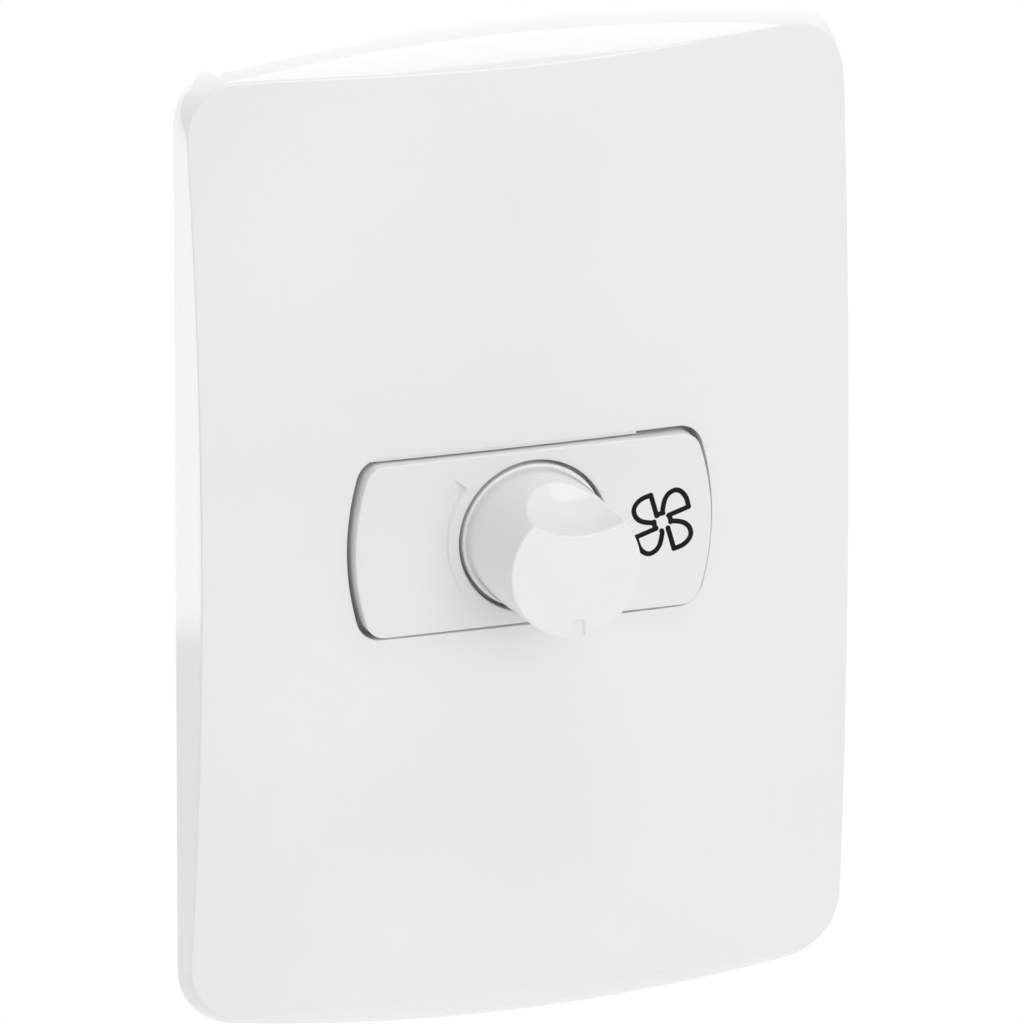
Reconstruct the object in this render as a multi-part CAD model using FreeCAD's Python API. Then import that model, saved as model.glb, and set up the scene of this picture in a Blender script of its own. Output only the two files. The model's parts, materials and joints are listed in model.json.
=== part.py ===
"""Wall-mounted rotary fan speed control in a tall 4x2 wall plate.

Millimetres. The wall is the plane Y = 0 and the front faces -Y, +Z is up, and the origin is the
centre of the screw pattern in the wall plane. A height is a distance in front of the wall, so a
point at height h has Y = -h, and a depth is a distance behind the wall.
"""
import FreeCAD
import Part
import math
import os

V = FreeCAD.Vector

# Cover plate
plate_height = 120.0
plate_width = 80.3
plate_end_bow = 3.4
plate_corner_radius = 7.2
plate_wall = 2.0
plate_side_draft = 0.12
plate_end_draft = 0.10
plate_end_roll = 0.096
plate_edge_chamfer = 0.3
dome_height = 8.2
dome_side_drop = 1.55
dome_end_drop = 1.95
dome_corner_drop = 2.76
plate_rib_width = 1.2
plate_rib_depth = 1.0
rib_beside_hook = 6.0
rib_below_hook = 8.0
hook_width = 6.0
hook_thickness = 1.4
hook_catch = 0.8
hook_side_inset = 5.0
hook_end_inset = 10.25
pad_below_hook = 10.0

# Module front
insert_length = 43.2
insert_height = 20.5
insert_end_bow = 1.92
insert_corner_radius = 2.4
insert_front = 9.1
insert_edge_chamfer = 0.25
insert_wall = 1.6
insert_gap = 0.55
collar_wall = 1.2
collar_seat_gap = 0.5
knob_hole_radius = 9.07
well_floor_front = 6.5
well_floor_wall = 1.5
mark_inner_radius = 10.35
mark_outer_radius = 12.6
mark_thick_angle = 141.0
mark_thin_angle = 222.0
mark_depth = 0.5
leg_width = 5.0
leg_end_inset = 5.0
leg_thickness = 1.1
leg_catch = 0.9
leg_nose_length = 1.5
leg_wall_gap = 0.15
leg_back_height = 1.0

# Knob
knob_front = 23.0
knob_face_radius = 7.86
knob_foot_radius = 8.3
knob_skirt_gap = 0.45
knob_skirt_front = 9.0
knob_skirt_chamfer = 0.2
knob_foot_chamfer = 0.35
knob_face_chamfer = 0.3
knob_floor_gap = 0.5
knob_wall = 1.2
knob_face_wall = 2.0
scoop_radius = 10.7
scoop_above_axis = 14.9
pointer_width = 1.2
pointer_length = 2.0
pointer_depth = 0.35
hub_radius = 4.4
hub_split = 0.8
hub_ring_gap = 0.4
bore_clearance = 0.03
bore_end_gap = 0.2
rib_width = 1.0
spring_wall = 0.5
spring_width = 2.0
spring_clearance = 0.02

# Control and its shaft
shaft_radius = 3.0
shaft_flat = 1.5
shaft_front = 20.0
shaft_rear_length = 3.0
bush_clearance = 0.05
bush_radius = 3.5
bush_front = 9.7
bush_flange = 1.3
bush_flange_thickness = 0.8
thread_clearance = 0.02
ring_thickness = 0.5
ring_clearance = 0.15
ring_width = 1.2
ring_groove = 0.5
ring_mouth = 4.0
washer_radius = 6.0
washer_thickness = 0.5
washer_clearance = 0.1
nut_across_flats = 10.0
nut_thickness = 2.0
nut_chamfer = 0.5
pot_radius = 6.2
pot_length = 6.0
pot_sheet = 0.5
wafer_thickness = 1.0
wafer_back_gap = 0.2
wafer_side_gap = 0.1
wiper_thickness = 1.4
wiper_height = 1.2
wiper_side_gap = 0.5
wiper_arm = 0.8
leg_pitch = 2.5
pot_leg_width = 0.8
pot_leg_thickness = 0.15
eyelet_width = 1.6
switch_length = 6.5
switch_radius = 6.0
switch_foot = 9.4
switch_leg_spacing = 6.0
switch_leg_width = 1.0
switch_leg_thickness = 0.6
switch_leg_inset = 2.0

# Support frame and its screws
frame_side_margin = 7.15
frame_end_bow = 3.0
frame_corner_radius = 10.0
frame_thickness = 2.5
frame_clearance = 0.3
bar_width = 3.0
window_height = 20.0
window_corner_radius = 2.0
screw_spacing = 83.3
screw_end_margin = 4.6
slot_length = 8.0
slot_width = 4.0
head_recess = 1.2
screw_radius = 1.75
screw_neck_radius = 1.5
screw_head_radius = 3.2
screw_head_height = 2.2
screw_head_chamfer = 0.8
screw_head_gap = 0.4
screw_slot_width = 1.0
screw_slot_depth = 1.0
screw_depth = 22.0

# Module housing
housing_length = 43.0
housing_height = 20.0
housing_wall = 1.5
housing_depth = 33.0
housing_corner_radius = 1.0
flange_margin = 2.0
flange_thickness = 1.4
clip_width = 8.0
clip_catch = 0.7
clip_rebate = 1.2
clip_ramp = 3.5
clip_gap = 0.1
vent_first = 7.0
vent_length = 18.0
vent_width = 1.4
vent_pitch = 3.4
vent_margin = 1.0
wire_entry_radius = 2.2
driver_hole_radius = 3.1

# Terminals
terminal_spacing = 14.0
terminal_width = 6.4
terminal_length = 9.0
terminal_height = 8.2
terminal_back_gap = 0.5
terminal_wire_radius = 1.8
terminal_wire_height = 3.3
terminal_wire_wall = 1.0
terminal_screw_inset = 4.0
terminal_screw_radius = 1.72
terminal_thread_radius = 1.75
terminal_head_radius = 2.7
terminal_head_height = 2.0
terminal_slot_width = 0.9
terminal_pin = 0.9
terminal_pin_inset = 1.2

# Circuit board and what stands on it
board_thickness = 1.6
board_under_gap = 0.6
board_side_gap = 0.6
board_front_depth = -0.6
board_back_gap = 0.7
board_rail_width = 1.2
board_clip_length = 4.5
board_clip_thickness = 0.9
board_clip_gap = 0.1
component_gap = 0.5
component_rise = 0.4
lid_gap = 0.4
lead_radius = 0.3
lead_reach = 0.3
hole_clearance = 0.05
pin_clearance = 0.1
film_length = 9.0
film_width = 4.0
film_height = 9.0
film_pitch = 7.5
timing_length = 7.2
timing_width = 2.5
timing_height = 6.5
timing_pitch = 5.0
middle_group_x = 3.3
resistor_length = 6.4
resistor_radius = 1.2
diac_length = 4.0
diac_radius = 0.95
axial_lead_span = 1.2
fuse_radius = 2.9
fuse_height = 7.0
fuse_pitch = 5.08
choke_outer = 10.0
choke_inner = 5.4
choke_height = 4.5
choke_wire = 0.6
choke_turns = 12
choke_gap = 0.1
choke_end_spacing = 5.0
sink_sheet = 1.5
sink_flange = 5.0
sink_front_depth = 3.0
sink_rise = 0.8
sink_leg_width = 3.0
sink_leg_inset = 1.0
triac_width = 7.8
triac_thickness = 2.7
triac_height = 10.8
triac_rise = 1.8
triac_pitch = 2.29
triac_leg_width = 0.7
triac_leg_thickness = 0.5
triac_hole_radius = 1.6
triac_hole_height = 7.2
triac_screw_radius = 1.5
triac_head_radius = 2.6
triac_head_height = 1.8

# Sizes worked out from those above
frame_width = plate_width - 2 * frame_side_margin
frame_height = screw_spacing + 2 * screw_end_margin
hook_x = frame_width / 2 - hook_side_inset
hook_z = frame_height / 2 - hook_end_inset
flange_front = frame_thickness + flange_thickness
inner_half_length = housing_length / 2 - housing_wall
inner_half_height = housing_height / 2 - housing_wall
inner_back = housing_depth - housing_wall
leg_x = inner_half_length - leg_end_inset
board_bottom = -inner_half_height + board_under_gap
board_top = board_bottom + board_thickness
board_half_width = inner_half_length - board_side_gap
board_back_depth = inner_back - board_back_gap
lead_end = board_bottom - lead_reach
lid_height = inner_half_height - lid_gap
knob_skirt_radius = knob_hole_radius - knob_skirt_gap
knob_back = well_floor_front + knob_floor_gap
hub_back = bush_front + ring_clearance + ring_thickness + hub_ring_gap
scoop_floor = knob_front - math.sqrt(scoop_radius ** 2 - (scoop_above_axis - knob_foot_radius) ** 2)
pot_front = well_floor_front - well_floor_wall
pot_back = pot_front - pot_length
wafer_front = pot_back + wafer_back_gap + wafer_thickness
switch_back_depth = switch_length - pot_back
terminal_back = inner_back - terminal_back_gap
terminal_front = terminal_back - terminal_length
terminal_depth = terminal_front + terminal_screw_inset
wire_z = board_top + terminal_wire_height
component_back = terminal_front - component_gap
sink_x = board_half_width - component_gap - sink_sheet - lead_reach
triac_y = component_back - component_gap - triac_width / 2
triac_screw_z = board_top + triac_rise + triac_hole_height
fuse_place = (sink_x - component_gap - fuse_radius, board_front_depth + 2 * component_gap + fuse_radius)
film_place = (component_gap - board_half_width + film_length / 2,
              board_front_depth + component_gap + film_width / 2)
timing_place = (middle_group_x, switch_back_depth + component_gap + timing_width / 2)
resistor_back = component_back - resistor_radius
resistor_places = [(middle_group_x, resistor_back),
                   (middle_group_x, resistor_back - 2 * resistor_radius - component_gap)]
diac_place = (0.0, terminal_depth)
choke_reach = choke_outer / 2 + choke_wire + choke_gap
choke_place = (component_gap - inner_half_length + choke_reach, component_back - choke_reach)


def block(x0, x1, y0, y1, z0, z1):
    """A box between two corners."""
    return Part.makeBox(x1 - x0, y1 - y0, z1 - z0, V(x0, y0, z0))


def rod(radius, y0, y1, x=0.0, z=0.0):
    """A cylinder along Y."""
    return Part.makeCylinder(radius, y1 - y0, V(x, y0, z), V(0, 1, 0))


def post(radius, z0, z1, x, y):
    """A cylinder along Z."""
    return Part.makeCylinder(radius, z1 - z0, V(x, y, z0), V(0, 0, 1))


def ring(outer, inner, y0, y1, x=0.0, z=0.0):
    """A tube along Y."""
    return rod(outer, y0, y1, x, z).cut(rod(inner, y0 - 1, y1 + 1, x, z))


def fuse(shapes):
    """One shape from several, without the seams between coplanar faces."""
    first = shapes[0]
    if len(shapes) == 1:
        return first
    return first.multiFuse(shapes[1:]).removeSplitter()


def group(shapes):
    """Separate solids that share one node."""
    return Part.makeCompound(shapes)


def about_y(shape, angle):
    """A copy turned about the knob's axis."""
    turned = shape.copy()
    turned.rotate(V(0, 0, 0), V(0, 1, 0), angle)
    return turned


def mirrored(shape, normal):
    """A copy mirrored through the origin."""
    return shape.mirror(V(0, 0, 0), normal)


def turned_profile(points):
    """A solid of revolution about Y from (radius, height) corners."""
    corners = [V(radius, -height, 0) for radius, height in points]
    face = Part.Face(Part.makePolygon(corners + [corners[0]]))
    return face.revolve(V(0, 0, 0), V(0, 1, 0), 360)


def bowed_outline(half_across, half_along, bow, corner_radius, height):
    """A closed outline in a plane parallel to the wall.

    The two sides are straight, the ends are arcs that bow outwards, and four arcs round the
    corners. Each corner's centre lies one corner radius inside the side and the end's circle.
    """
    y = -height
    end_radius = (half_across ** 2 + bow ** 2) / (2 * bow)
    end_centre = half_along - end_radius
    corner_x = half_across - corner_radius
    rise = math.sqrt((end_radius - corner_radius) ** 2 - corner_x ** 2)
    corner_z = end_centre + rise
    tangent_x = corner_x * end_radius / (end_radius - corner_radius)
    tangent_z = end_centre + rise * end_radius / (end_radius - corner_radius)
    middle = math.atan2(rise, corner_x) / 2
    bulge_x = corner_x + corner_radius * math.cos(middle)
    bulge_z = corner_z + corner_radius * math.sin(middle)

    def point(x, z):
        return V(x, y, z)

    edges = []
    edges.append(Part.LineSegment(point(half_across, -corner_z), point(half_across, corner_z)))
    edges.append(Part.Arc(point(half_across, corner_z), point(bulge_x, bulge_z),
                          point(tangent_x, tangent_z)))
    edges.append(Part.Arc(point(tangent_x, tangent_z), point(0, half_along),
                          point(-tangent_x, tangent_z)))
    edges.append(Part.Arc(point(-tangent_x, tangent_z), point(-bulge_x, bulge_z),
                          point(-half_across, corner_z)))
    edges.append(Part.LineSegment(point(-half_across, corner_z), point(-half_across, -corner_z)))
    edges.append(Part.Arc(point(-half_across, -corner_z), point(-bulge_x, -bulge_z),
                          point(-tangent_x, -tangent_z)))
    edges.append(Part.Arc(point(-tangent_x, -tangent_z), point(0, -half_along),
                          point(tangent_x, -tangent_z)))
    edges.append(Part.Arc(point(tangent_x, -tangent_z), point(bulge_x, -bulge_z),
                          point(half_across, -corner_z)))
    return Part.Wire([edge.toShape() for edge in edges])


def extruded(wire, depth):
    """A solid from a flat outline, towards the wall."""
    return Part.Face(wire).extrude(V(0, depth, 0))


def rounded_block(width, length, radius, y0, y1, x=0.0, z=0.0):
    """A box with four rounded edges along Y."""
    body = block(x - width / 2, x + width / 2, y0, y1, z - length / 2, z + length / 2)
    upright = [edge for edge in body.Edges if abs(edge.tangentAt(0).y) > 0.9]
    return body.makeFillet(radius, upright)


# Plate


def dome_surface(drop):
    """The domed face as one surface of degree two each way.

    height = dome_height - side_drop u^2 - end_drop v^2 - corner_drop u^2 v^2, where u and v are 1 at
    the plate's edges. On a patch from -reach to +reach, the poles of t^2 are +reach^2, -reach^2 and
    +reach^2.
    """
    reach = 1.15
    squares = [reach ** 2, -reach ** 2, reach ** 2]
    places = [-reach, 0.0, reach]
    surface = Part.BezierSurface()
    surface.increase(2, 2)
    for i in range(3):
        for j in range(3):
            height = dome_height - drop
            height -= dome_side_drop * squares[i]
            height -= dome_end_drop * squares[j]
            height -= dome_corner_drop * squares[i] * squares[j]
            pole = V(places[i] * plate_width / 2, -height, places[j] * plate_height / 2)
            surface.setPole(i + 1, j + 1, pole)
    return surface


def plate_form(inset, drop, base=0.0):
    """The plate's outer form, or the hollow inside it when inset and drop are the wall.

    The flank is a loft through outlines that shrink with height: the sides by a plain draft, the
    ends by a draft that rolls over towards the face. The dome cuts it off.
    """
    tallest = dome_height + 1.0
    steps = 3
    outlines = []
    for i in range(steps):
        height = base + (tallest - base) * i / (steps - 1)
        half_across = plate_width / 2 - plate_side_draft * height - inset
        end_in = plate_end_draft * height + plate_end_roll * height ** 2
        half_along = plate_height / 2 - end_in - inset
        bow = plate_end_bow * half_across / (plate_width / 2)
        corner = max(plate_corner_radius - inset, 0.5)
        outlines.append(bowed_outline(half_across, half_along, bow, corner, height))
    flank = Part.makeLoft(outlines, True, False)
    front = dome_surface(drop).toShape().extrude(V(0, -2 * tallest, 0))
    return flank.cut(front)


def face_edges(form):
    """The edges where the dome meets the flank."""
    found = []
    for edge in form.Edges:
        middle = edge.valueAt((edge.FirstParameter + edge.LastParameter) / 2)
        along_wall = abs(middle.y) < 0.01
        ends = [vertex.Point.y for vertex in edge.Vertexes]
        rises = min(ends) < -1 and max(ends) > -0.01
        if not along_wall and not rises:
            found.append(edge)
    return found


def insert_outline(margin, height):
    """The module front's outline, grown by a margin: its ends are the bowed sides."""
    wire = bowed_outline(insert_height / 2 + margin, insert_length / 2 + margin, insert_end_bow,
                         insert_corner_radius + margin, height)
    wire.rotate(V(0, 0, 0), V(0, 1, 0), 90)
    return wire


def hook(x, z, top):
    """A snap hook of the plate: a stem with a nose that catches behind the frame's ledge."""
    outward = 1 if z > 0 else -1
    stem_z = z - outward * hook_thickness / 2
    stem = block(x - hook_width / 2, x + hook_width / 2, -top, -frame_clearance,
                 min(stem_z, stem_z + outward * hook_thickness),
                 max(stem_z, stem_z + outward * hook_thickness))
    face_z = stem_z + outward * hook_thickness
    nose_top = frame_thickness / 2 - clip_gap
    corners = [V(x - hook_width / 2, -nose_top, face_z),
               V(x - hook_width / 2, -nose_top, face_z + outward * hook_catch),
               V(x - hook_width / 2, -frame_clearance, face_z)]
    nose = Part.Face(Part.makePolygon(corners + [corners[0]])).extrude(V(hook_width, 0, 0))
    return fuse([stem, nose])


def make_cover_plate():
    outer = plate_form(0.0, 0.0)
    outer = outer.makeChamfer(plate_edge_chamfer, face_edges(outer))
    hollow = plate_form(plate_wall, plate_wall)
    deeper = plate_form(plate_wall, plate_wall + plate_rib_depth)
    shell = outer.cut(hollow)
    opening_height = dome_height + 2
    opening = extruded(insert_outline(insert_gap, opening_height), opening_height + 1)
    collar_back = flange_front + collar_seat_gap
    collar = extruded(insert_outline(insert_gap + collar_wall, opening_height),
                      opening_height - collar_back)
    collar = collar.common(hollow)
    half = plate_rib_width / 2
    reach_x = plate_width / 2
    reach_z = plate_height / 2
    over_frame = block(-reach_x, reach_x, -opening_height, -frame_thickness - frame_clearance,
                       -reach_z, reach_z)
    rib_zone = hollow.cut(deeper).common(over_frame)
    ribs = []
    for side in (-1, 1):
        rib_x = side * (hook_x + rib_beside_hook)
        rib_z = side * (hook_z - rib_below_hook)
        ribs.append(block(rib_x - half, rib_x + half, -opening_height, 0, -reach_z, reach_z))
        ribs.append(block(-reach_x, reach_x, -opening_height, 0, rib_z - half, rib_z + half))
    ribs = [rib.common(rib_zone) for rib in ribs]
    hooks = []
    pads = []
    for x in (-hook_x, hook_x):
        for side in (-1, 1):
            hooks.append(hook(x, side * hook_z, opening_height).common(hollow))
            pad_z = side * (hook_z - pad_below_hook)
            pad = block(x - hook_width / 2, x + hook_width / 2, -opening_height, -frame_thickness,
                        pad_z - half, pad_z + half)
            pads.append(pad.common(hollow))
    body = fuse([shell, collar] + ribs + hooks + pads)
    return body.cut(opening)


# Module front


def speed_mark():
    """The wedge beside the knob: a floor that rises outwards from a sharp inner wall.

    It is widest at its thick end and runs out to nothing at its thin end. The outer edge is where
    the sloping floor meets the face, so the cut is a loft of triangles.
    """
    sections = []
    steps = 9
    for i in range(steps):
        share = i / (steps - 1)
        angle = math.radians(mark_thick_angle + (mark_thin_angle - mark_thick_angle) * share)
        width = (mark_outer_radius - mark_inner_radius) * (1 - share) + 0.02
        depth = mark_depth * (1 - share) + 0.01

        def at(radius, height, angle=angle):
            return V(radius * math.cos(angle), -height, radius * math.sin(angle))

        above = 0.2
        corners = [at(mark_inner_radius, insert_front + above),
                   at(mark_inner_radius, insert_front - depth),
                   at(mark_inner_radius + width * (1 + above / depth), insert_front + above)]
        sections.append(Part.makePolygon(corners + [corners[0]]))
    return Part.makeLoft(sections, True, True)


def make_front_insert():
    body = extruded(insert_outline(0.0, insert_front), insert_front - flange_front)
    front_edges = [edge for edge in body.Edges
                   if max(vertex.Point.y for vertex in edge.Vertexes) < -insert_front + 0.01]
    body = body.makeChamfer(insert_edge_chamfer, front_edges)
    back = flange_front
    cavity = extruded(insert_outline(-insert_wall, insert_front - insert_wall),
                      insert_front - insert_wall - back)
    well_wall = insert_height / 2 - knob_hole_radius
    well = rod(knob_hole_radius + well_wall, -insert_front, -pot_front)
    body = fuse([body.cut(cavity), well.common(extruded(insert_outline(0, insert_front), 5))])
    body = body.cut(rod(knob_hole_radius, -insert_front - 1, -well_floor_front))
    body = body.cut(rod(bush_radius + bush_clearance, -insert_front, 0))
    body = body.cut(speed_mark())
    legs = []
    leg_top = inner_half_height - leg_wall_gap
    catch_height = leg_back_height + leg_nose_length
    for side in (-1, 1):
        x0 = side * leg_x - leg_width / 2
        x1 = side * leg_x + leg_width / 2
        leg = block(x0, x1, -insert_front + insert_wall, -leg_back_height, leg_top - leg_thickness,
                    leg_top)
        corners = [V(x0, -catch_height, leg_top), V(x0, -catch_height, leg_top + leg_catch),
                   V(x0, -leg_back_height, leg_top)]
        nose = Part.Face(Part.makePolygon(corners + [corners[0]])).extrude(V(leg_width, 0, 0))
        legs.append(fuse([leg, nose]))
    legs += [mirrored(leg, V(0, 0, 1)) for leg in legs]
    return fuse([body] + legs)


# Knob


def knob_outer():
    """The knob's outside: skirt, small foot, drafted side and broken face edge, turned."""
    side_top = knob_front - knob_face_chamfer
    foot = knob_skirt_front + knob_foot_chamfer
    slope = (knob_foot_radius - knob_face_radius) / (knob_front - foot)
    radius_at_top = knob_face_radius + slope * knob_face_chamfer
    return turned_profile([(0, knob_back),
                           (knob_skirt_radius, knob_back),
                           (knob_skirt_radius, knob_skirt_front - knob_skirt_chamfer),
                           (knob_skirt_radius - knob_skirt_chamfer, knob_skirt_front),
                           (knob_foot_radius, foot),
                           (radius_at_top, side_top),
                           (radius_at_top - knob_face_chamfer, knob_front),
                           (0, knob_front)])


def scoop():
    """The finger scoop: a ball whose centre is in the face's plane, above the knob."""
    return Part.makeSphere(scoop_radius, V(0, -knob_front, scoop_above_axis))


def shaft_form(extra, height0, height1):
    """The flatted shaft or its bore, from one height to another."""
    body = rod(shaft_radius + extra, -height1, -height0)
    cutter = block(-2 * shaft_radius, 2 * shaft_radius, -height1 - 1, -height0 + 1,
                   shaft_flat + extra, 2 * shaft_radius)
    return body.cut(cutter)


def make_knob():
    ceiling = knob_front - knob_face_wall
    low_ceiling = scoop_floor - knob_wall
    inner_radius = knob_face_radius - knob_wall
    hollow = rod(inner_radius, -low_ceiling, -knob_back + 1)
    pocket = rod(inner_radius, -ceiling, -knob_back + 1)
    below = block(-inner_radius, inner_radius, -ceiling, 0, -inner_radius, -hub_radius - rib_width)
    hollow = fuse([hollow, pocket.common(below)])
    rib_back = hub_back + spring_width + spring_wall
    ribs = []
    for angle in (45, 135, 225, 315):
        rib = block(0, knob_foot_radius, -knob_front, -rib_back, -rib_width / 2, rib_width / 2)
        ribs.append(about_y(rib, angle))
    hollow = hollow.cut(fuse([rod(hub_radius, -knob_front, -hub_back)] + ribs))
    body = knob_outer().cut(hollow).cut(scoop())
    body = body.cut(shaft_form(bore_clearance, hub_back - 1, shaft_front + bore_end_gap))
    split = block(-2 * hub_radius, 2 * hub_radius, -rib_back, -hub_back + 1,
                  -hub_split / 2, hub_split / 2)
    body = body.cut(split.common(rod(hub_radius, -rib_back, -hub_back + 1)))
    pointer_end = -knob_face_radius + pointer_length - pointer_width / 2
    pointer = fuse([block(-pointer_width / 2, pointer_width / 2, -knob_front - 1,
                          -knob_front + pointer_depth, -2 * knob_face_radius, pointer_end),
                    rod(pointer_width / 2, -knob_front - 1, -knob_front + pointer_depth,
                        0, pointer_end)])
    return body.cut(pointer)


def make_knob_spring():
    """An open band that grips the split hub."""
    back = hub_back + hub_split / 2
    inner = hub_radius + spring_clearance
    body = ring(inner + spring_wall, inner, -back - spring_width, -back)
    gap = block(-hub_split, hub_split, -back - spring_width - 1, -back + 1, 0, 2 * hub_radius)
    return body.cut(gap)


# Control


def make_pot_shaft():
    groove_back = bush_front + ring_clearance
    flat_start = groove_back + ring_thickness + hub_ring_gap
    plain = rod(shaft_radius, -flat_start, shaft_rear_length - pot_back)
    front = shaft_form(0.0, flat_start, shaft_front)
    groove = ring(shaft_radius + 1, shaft_radius - ring_groove, -groove_back - ring_thickness,
                  -groove_back)
    return fuse([plain, front]).cut(groove)


def make_retaining_ring():
    """An open ring that sits in the shaft's groove, in front of the bush."""
    back = bush_front + ring_clearance + thread_clearance
    front = back + ring_thickness - 2 * thread_clearance
    inner = shaft_radius - ring_groove + thread_clearance
    body = ring(shaft_radius + ring_width, inner, -front, -back)
    mouth = block(-ring_mouth / 2, ring_mouth / 2, -front - 1, -back + 1, 0, 2 * shaft_radius)
    return body.cut(mouth)


def make_pot_bushing():
    flange_front_height = pot_front - pot_sheet
    thread = rod(bush_radius, -bush_front, -flange_front_height)
    flange = rod(bush_radius + bush_flange, -flange_front_height,
                 -flange_front_height + bush_flange_thickness)
    return fuse([thread, flange]).cut(rod(shaft_radius + bush_clearance, -bush_front - 1, 0))


def make_pot_washer():
    return ring(washer_radius, bush_radius + washer_clearance, -well_floor_front - washer_thickness,
                -well_floor_front)


def make_pot_nut():
    back = well_floor_front + washer_thickness
    front = back + nut_thickness
    corner_radius = nut_across_flats / math.sqrt(3)
    corners = []
    for i in range(6):
        angle = math.radians(60 * i)
        corners.append(V(corner_radius * math.cos(angle), -back, corner_radius * math.sin(angle)))
    hexagon = Part.Face(Part.makePolygon(corners + [corners[0]])).extrude(V(0, -nut_thickness, 0))
    cone = turned_profile([(0, back), (corner_radius, back), (corner_radius, front - nut_chamfer),
                           (corner_radius - 2 * nut_chamfer, front), (0, front)])
    return hexagon.common(cone).cut(rod(bush_radius + thread_clearance, -front - 1, -back + 1))


def make_pot_case():
    """A sheet cup over the control, open at the back and below, where the legs come out."""
    body = rod(pot_radius, -pot_front, -pot_back)
    body = body.cut(rod(pot_radius - pot_sheet, -pot_front + pot_sheet, -pot_back + 1))
    body = body.cut(rod(bush_radius + thread_clearance, -pot_front - 1, 0))
    gate = leg_pitch + eyelet_width
    leg_gate = block(-gate, gate, -wafer_front - wafer_side_gap, -pot_back + 1,
                     -pot_radius - 1, -pot_radius / 2)
    return body.cut(leg_gate)


def make_resistor_wafer():
    """The laminate wafer that carries the track, with a tongue for the three legs."""
    back = wafer_front - wafer_thickness
    body = rod(pot_radius - pot_sheet - wafer_side_gap, -wafer_front, -back)
    half = leg_pitch + eyelet_width / 2 + pot_sheet
    tongue = block(-half, half, -wafer_front, -back, -pot_radius + wafer_back_gap, 0)
    hole = rod(shaft_radius + frame_clearance, -wafer_front - 1, -back + 1)
    return fuse([body, tongue]).cut(hole)


def make_wiper():
    """The rotor on the shaft, with two contact arms that reach back to the track."""
    back = wafer_front + wiper_height
    rotor_radius = pot_radius - pot_sheet - wiper_side_gap
    body = ring(rotor_radius, shaft_radius + thread_clearance, -back - wiper_thickness, -back)
    arms = []
    for angle in (60, 120):
        arm = block(shaft_radius + wiper_side_gap, rotor_radius, -back,
                    -wafer_front - thread_clearance, -wiper_arm / 2, wiper_arm / 2)
        arms.append(about_y(arm, angle))
    return fuse([body] + arms)


def pot_leg_places():
    """X of the three legs of the control."""
    return [-leg_pitch, 0.0, leg_pitch]


def switch_leg_places():
    """X of the two legs of the switch."""
    return [-switch_leg_spacing / 2, switch_leg_spacing / 2]


pot_leg_depth = wafer_thickness - wafer_front
switch_leg_depth = switch_back_depth - switch_leg_inset


def make_pot_terminals():
    legs = []
    behind = pot_leg_depth + pot_leg_thickness
    eyelet_bottom = -pot_radius + wafer_back_gap
    for x in pot_leg_places():
        eyelet = block(x - eyelet_width / 2, x + eyelet_width / 2, pot_leg_depth, behind,
                       eyelet_bottom, eyelet_bottom + eyelet_width)
        leg = block(x - pot_leg_width / 2, x + pot_leg_width / 2, pot_leg_depth, behind,
                    lead_end, eyelet_bottom)
        legs.append(fuse([eyelet, leg]))
    return group(legs)


def make_switch_case():
    """The mains switch at the control's back, standing on the board."""
    body = rod(switch_radius, -pot_back, switch_back_depth)
    foot = block(-switch_foot / 2, switch_foot / 2, -pot_back + wafer_thickness, switch_back_depth,
                 board_top + thread_clearance, 0)
    well = rod(shaft_radius + frame_clearance, -pot_back - 1, shaft_rear_length + ring_thickness - pot_back)
    return fuse([body, foot]).cut(well)


def make_switch_terminals():
    legs = []
    half = switch_leg_thickness / 2
    for x in switch_leg_places():
        legs.append(block(x - switch_leg_width / 2, x + switch_leg_width / 2,
                          switch_leg_depth - half, switch_leg_depth + half,
                          lead_end, board_top + thread_clearance))
    return group(legs)


# Support frame and its screws


def slot_form(half_width, y0, y1, z):
    """A long hole along X with round ends."""
    straight = (slot_length - slot_width) / 2
    middle = block(-straight, straight, y0, y1, z - half_width, z + half_width)
    return fuse([middle, rod(half_width, y0, y1, -straight, z), rod(half_width, y0, y1, straight, z)])


def make_support_frame():
    behind = frame_thickness
    outline = bowed_outline(frame_width / 2, frame_height / 2, frame_end_bow, frame_corner_radius,
                            frame_thickness)
    body = extruded(outline, frame_thickness)
    half_opening = housing_length / 2 + frame_clearance
    half_opening_z = housing_height / 2 + frame_clearance
    rebate_reach = half_opening + frame_clearance + clip_catch
    rebate_half = clip_width / 2 + frame_clearance
    window_centre = half_opening_z + bar_width + window_height / 2
    cuts = [block(-half_opening, half_opening, -behind - 1, behind, -half_opening_z, half_opening_z),
            block(-rebate_reach, rebate_reach, -clip_rebate, behind, -rebate_half, rebate_half)]
    ledge = frame_thickness / 2
    for side in (-1, 1):
        cuts.append(rounded_block(housing_length, window_height, window_corner_radius, -behind - 1,
                                  behind, 0, side * window_centre))
        z = side * screw_spacing / 2
        cuts.append(slot_form(slot_width / 2, -behind - 1, behind, z))
        cuts.append(slot_form(screw_head_radius + screw_head_gap, -behind - 1,
                              head_recess - frame_thickness, z))
        for x in (-hook_x, hook_x):
            half_x = hook_width / 2 + frame_clearance
            inner_z = side * (hook_z - hook_thickness / 2 - frame_clearance)
            narrow_z = side * (hook_z + hook_thickness / 2 + frame_clearance)
            wide_z = narrow_z + side * hook_catch
            cuts.append(block(x - half_x, x + half_x, -behind - 1, behind,
                              min(inner_z, narrow_z), max(inner_z, narrow_z)))
            cuts.append(block(x - half_x, x + half_x, -ledge, behind,
                              min(inner_z, wide_z), max(inner_z, wide_z)))
    for cut in cuts:
        body = body.cut(cut)
    return body


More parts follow.
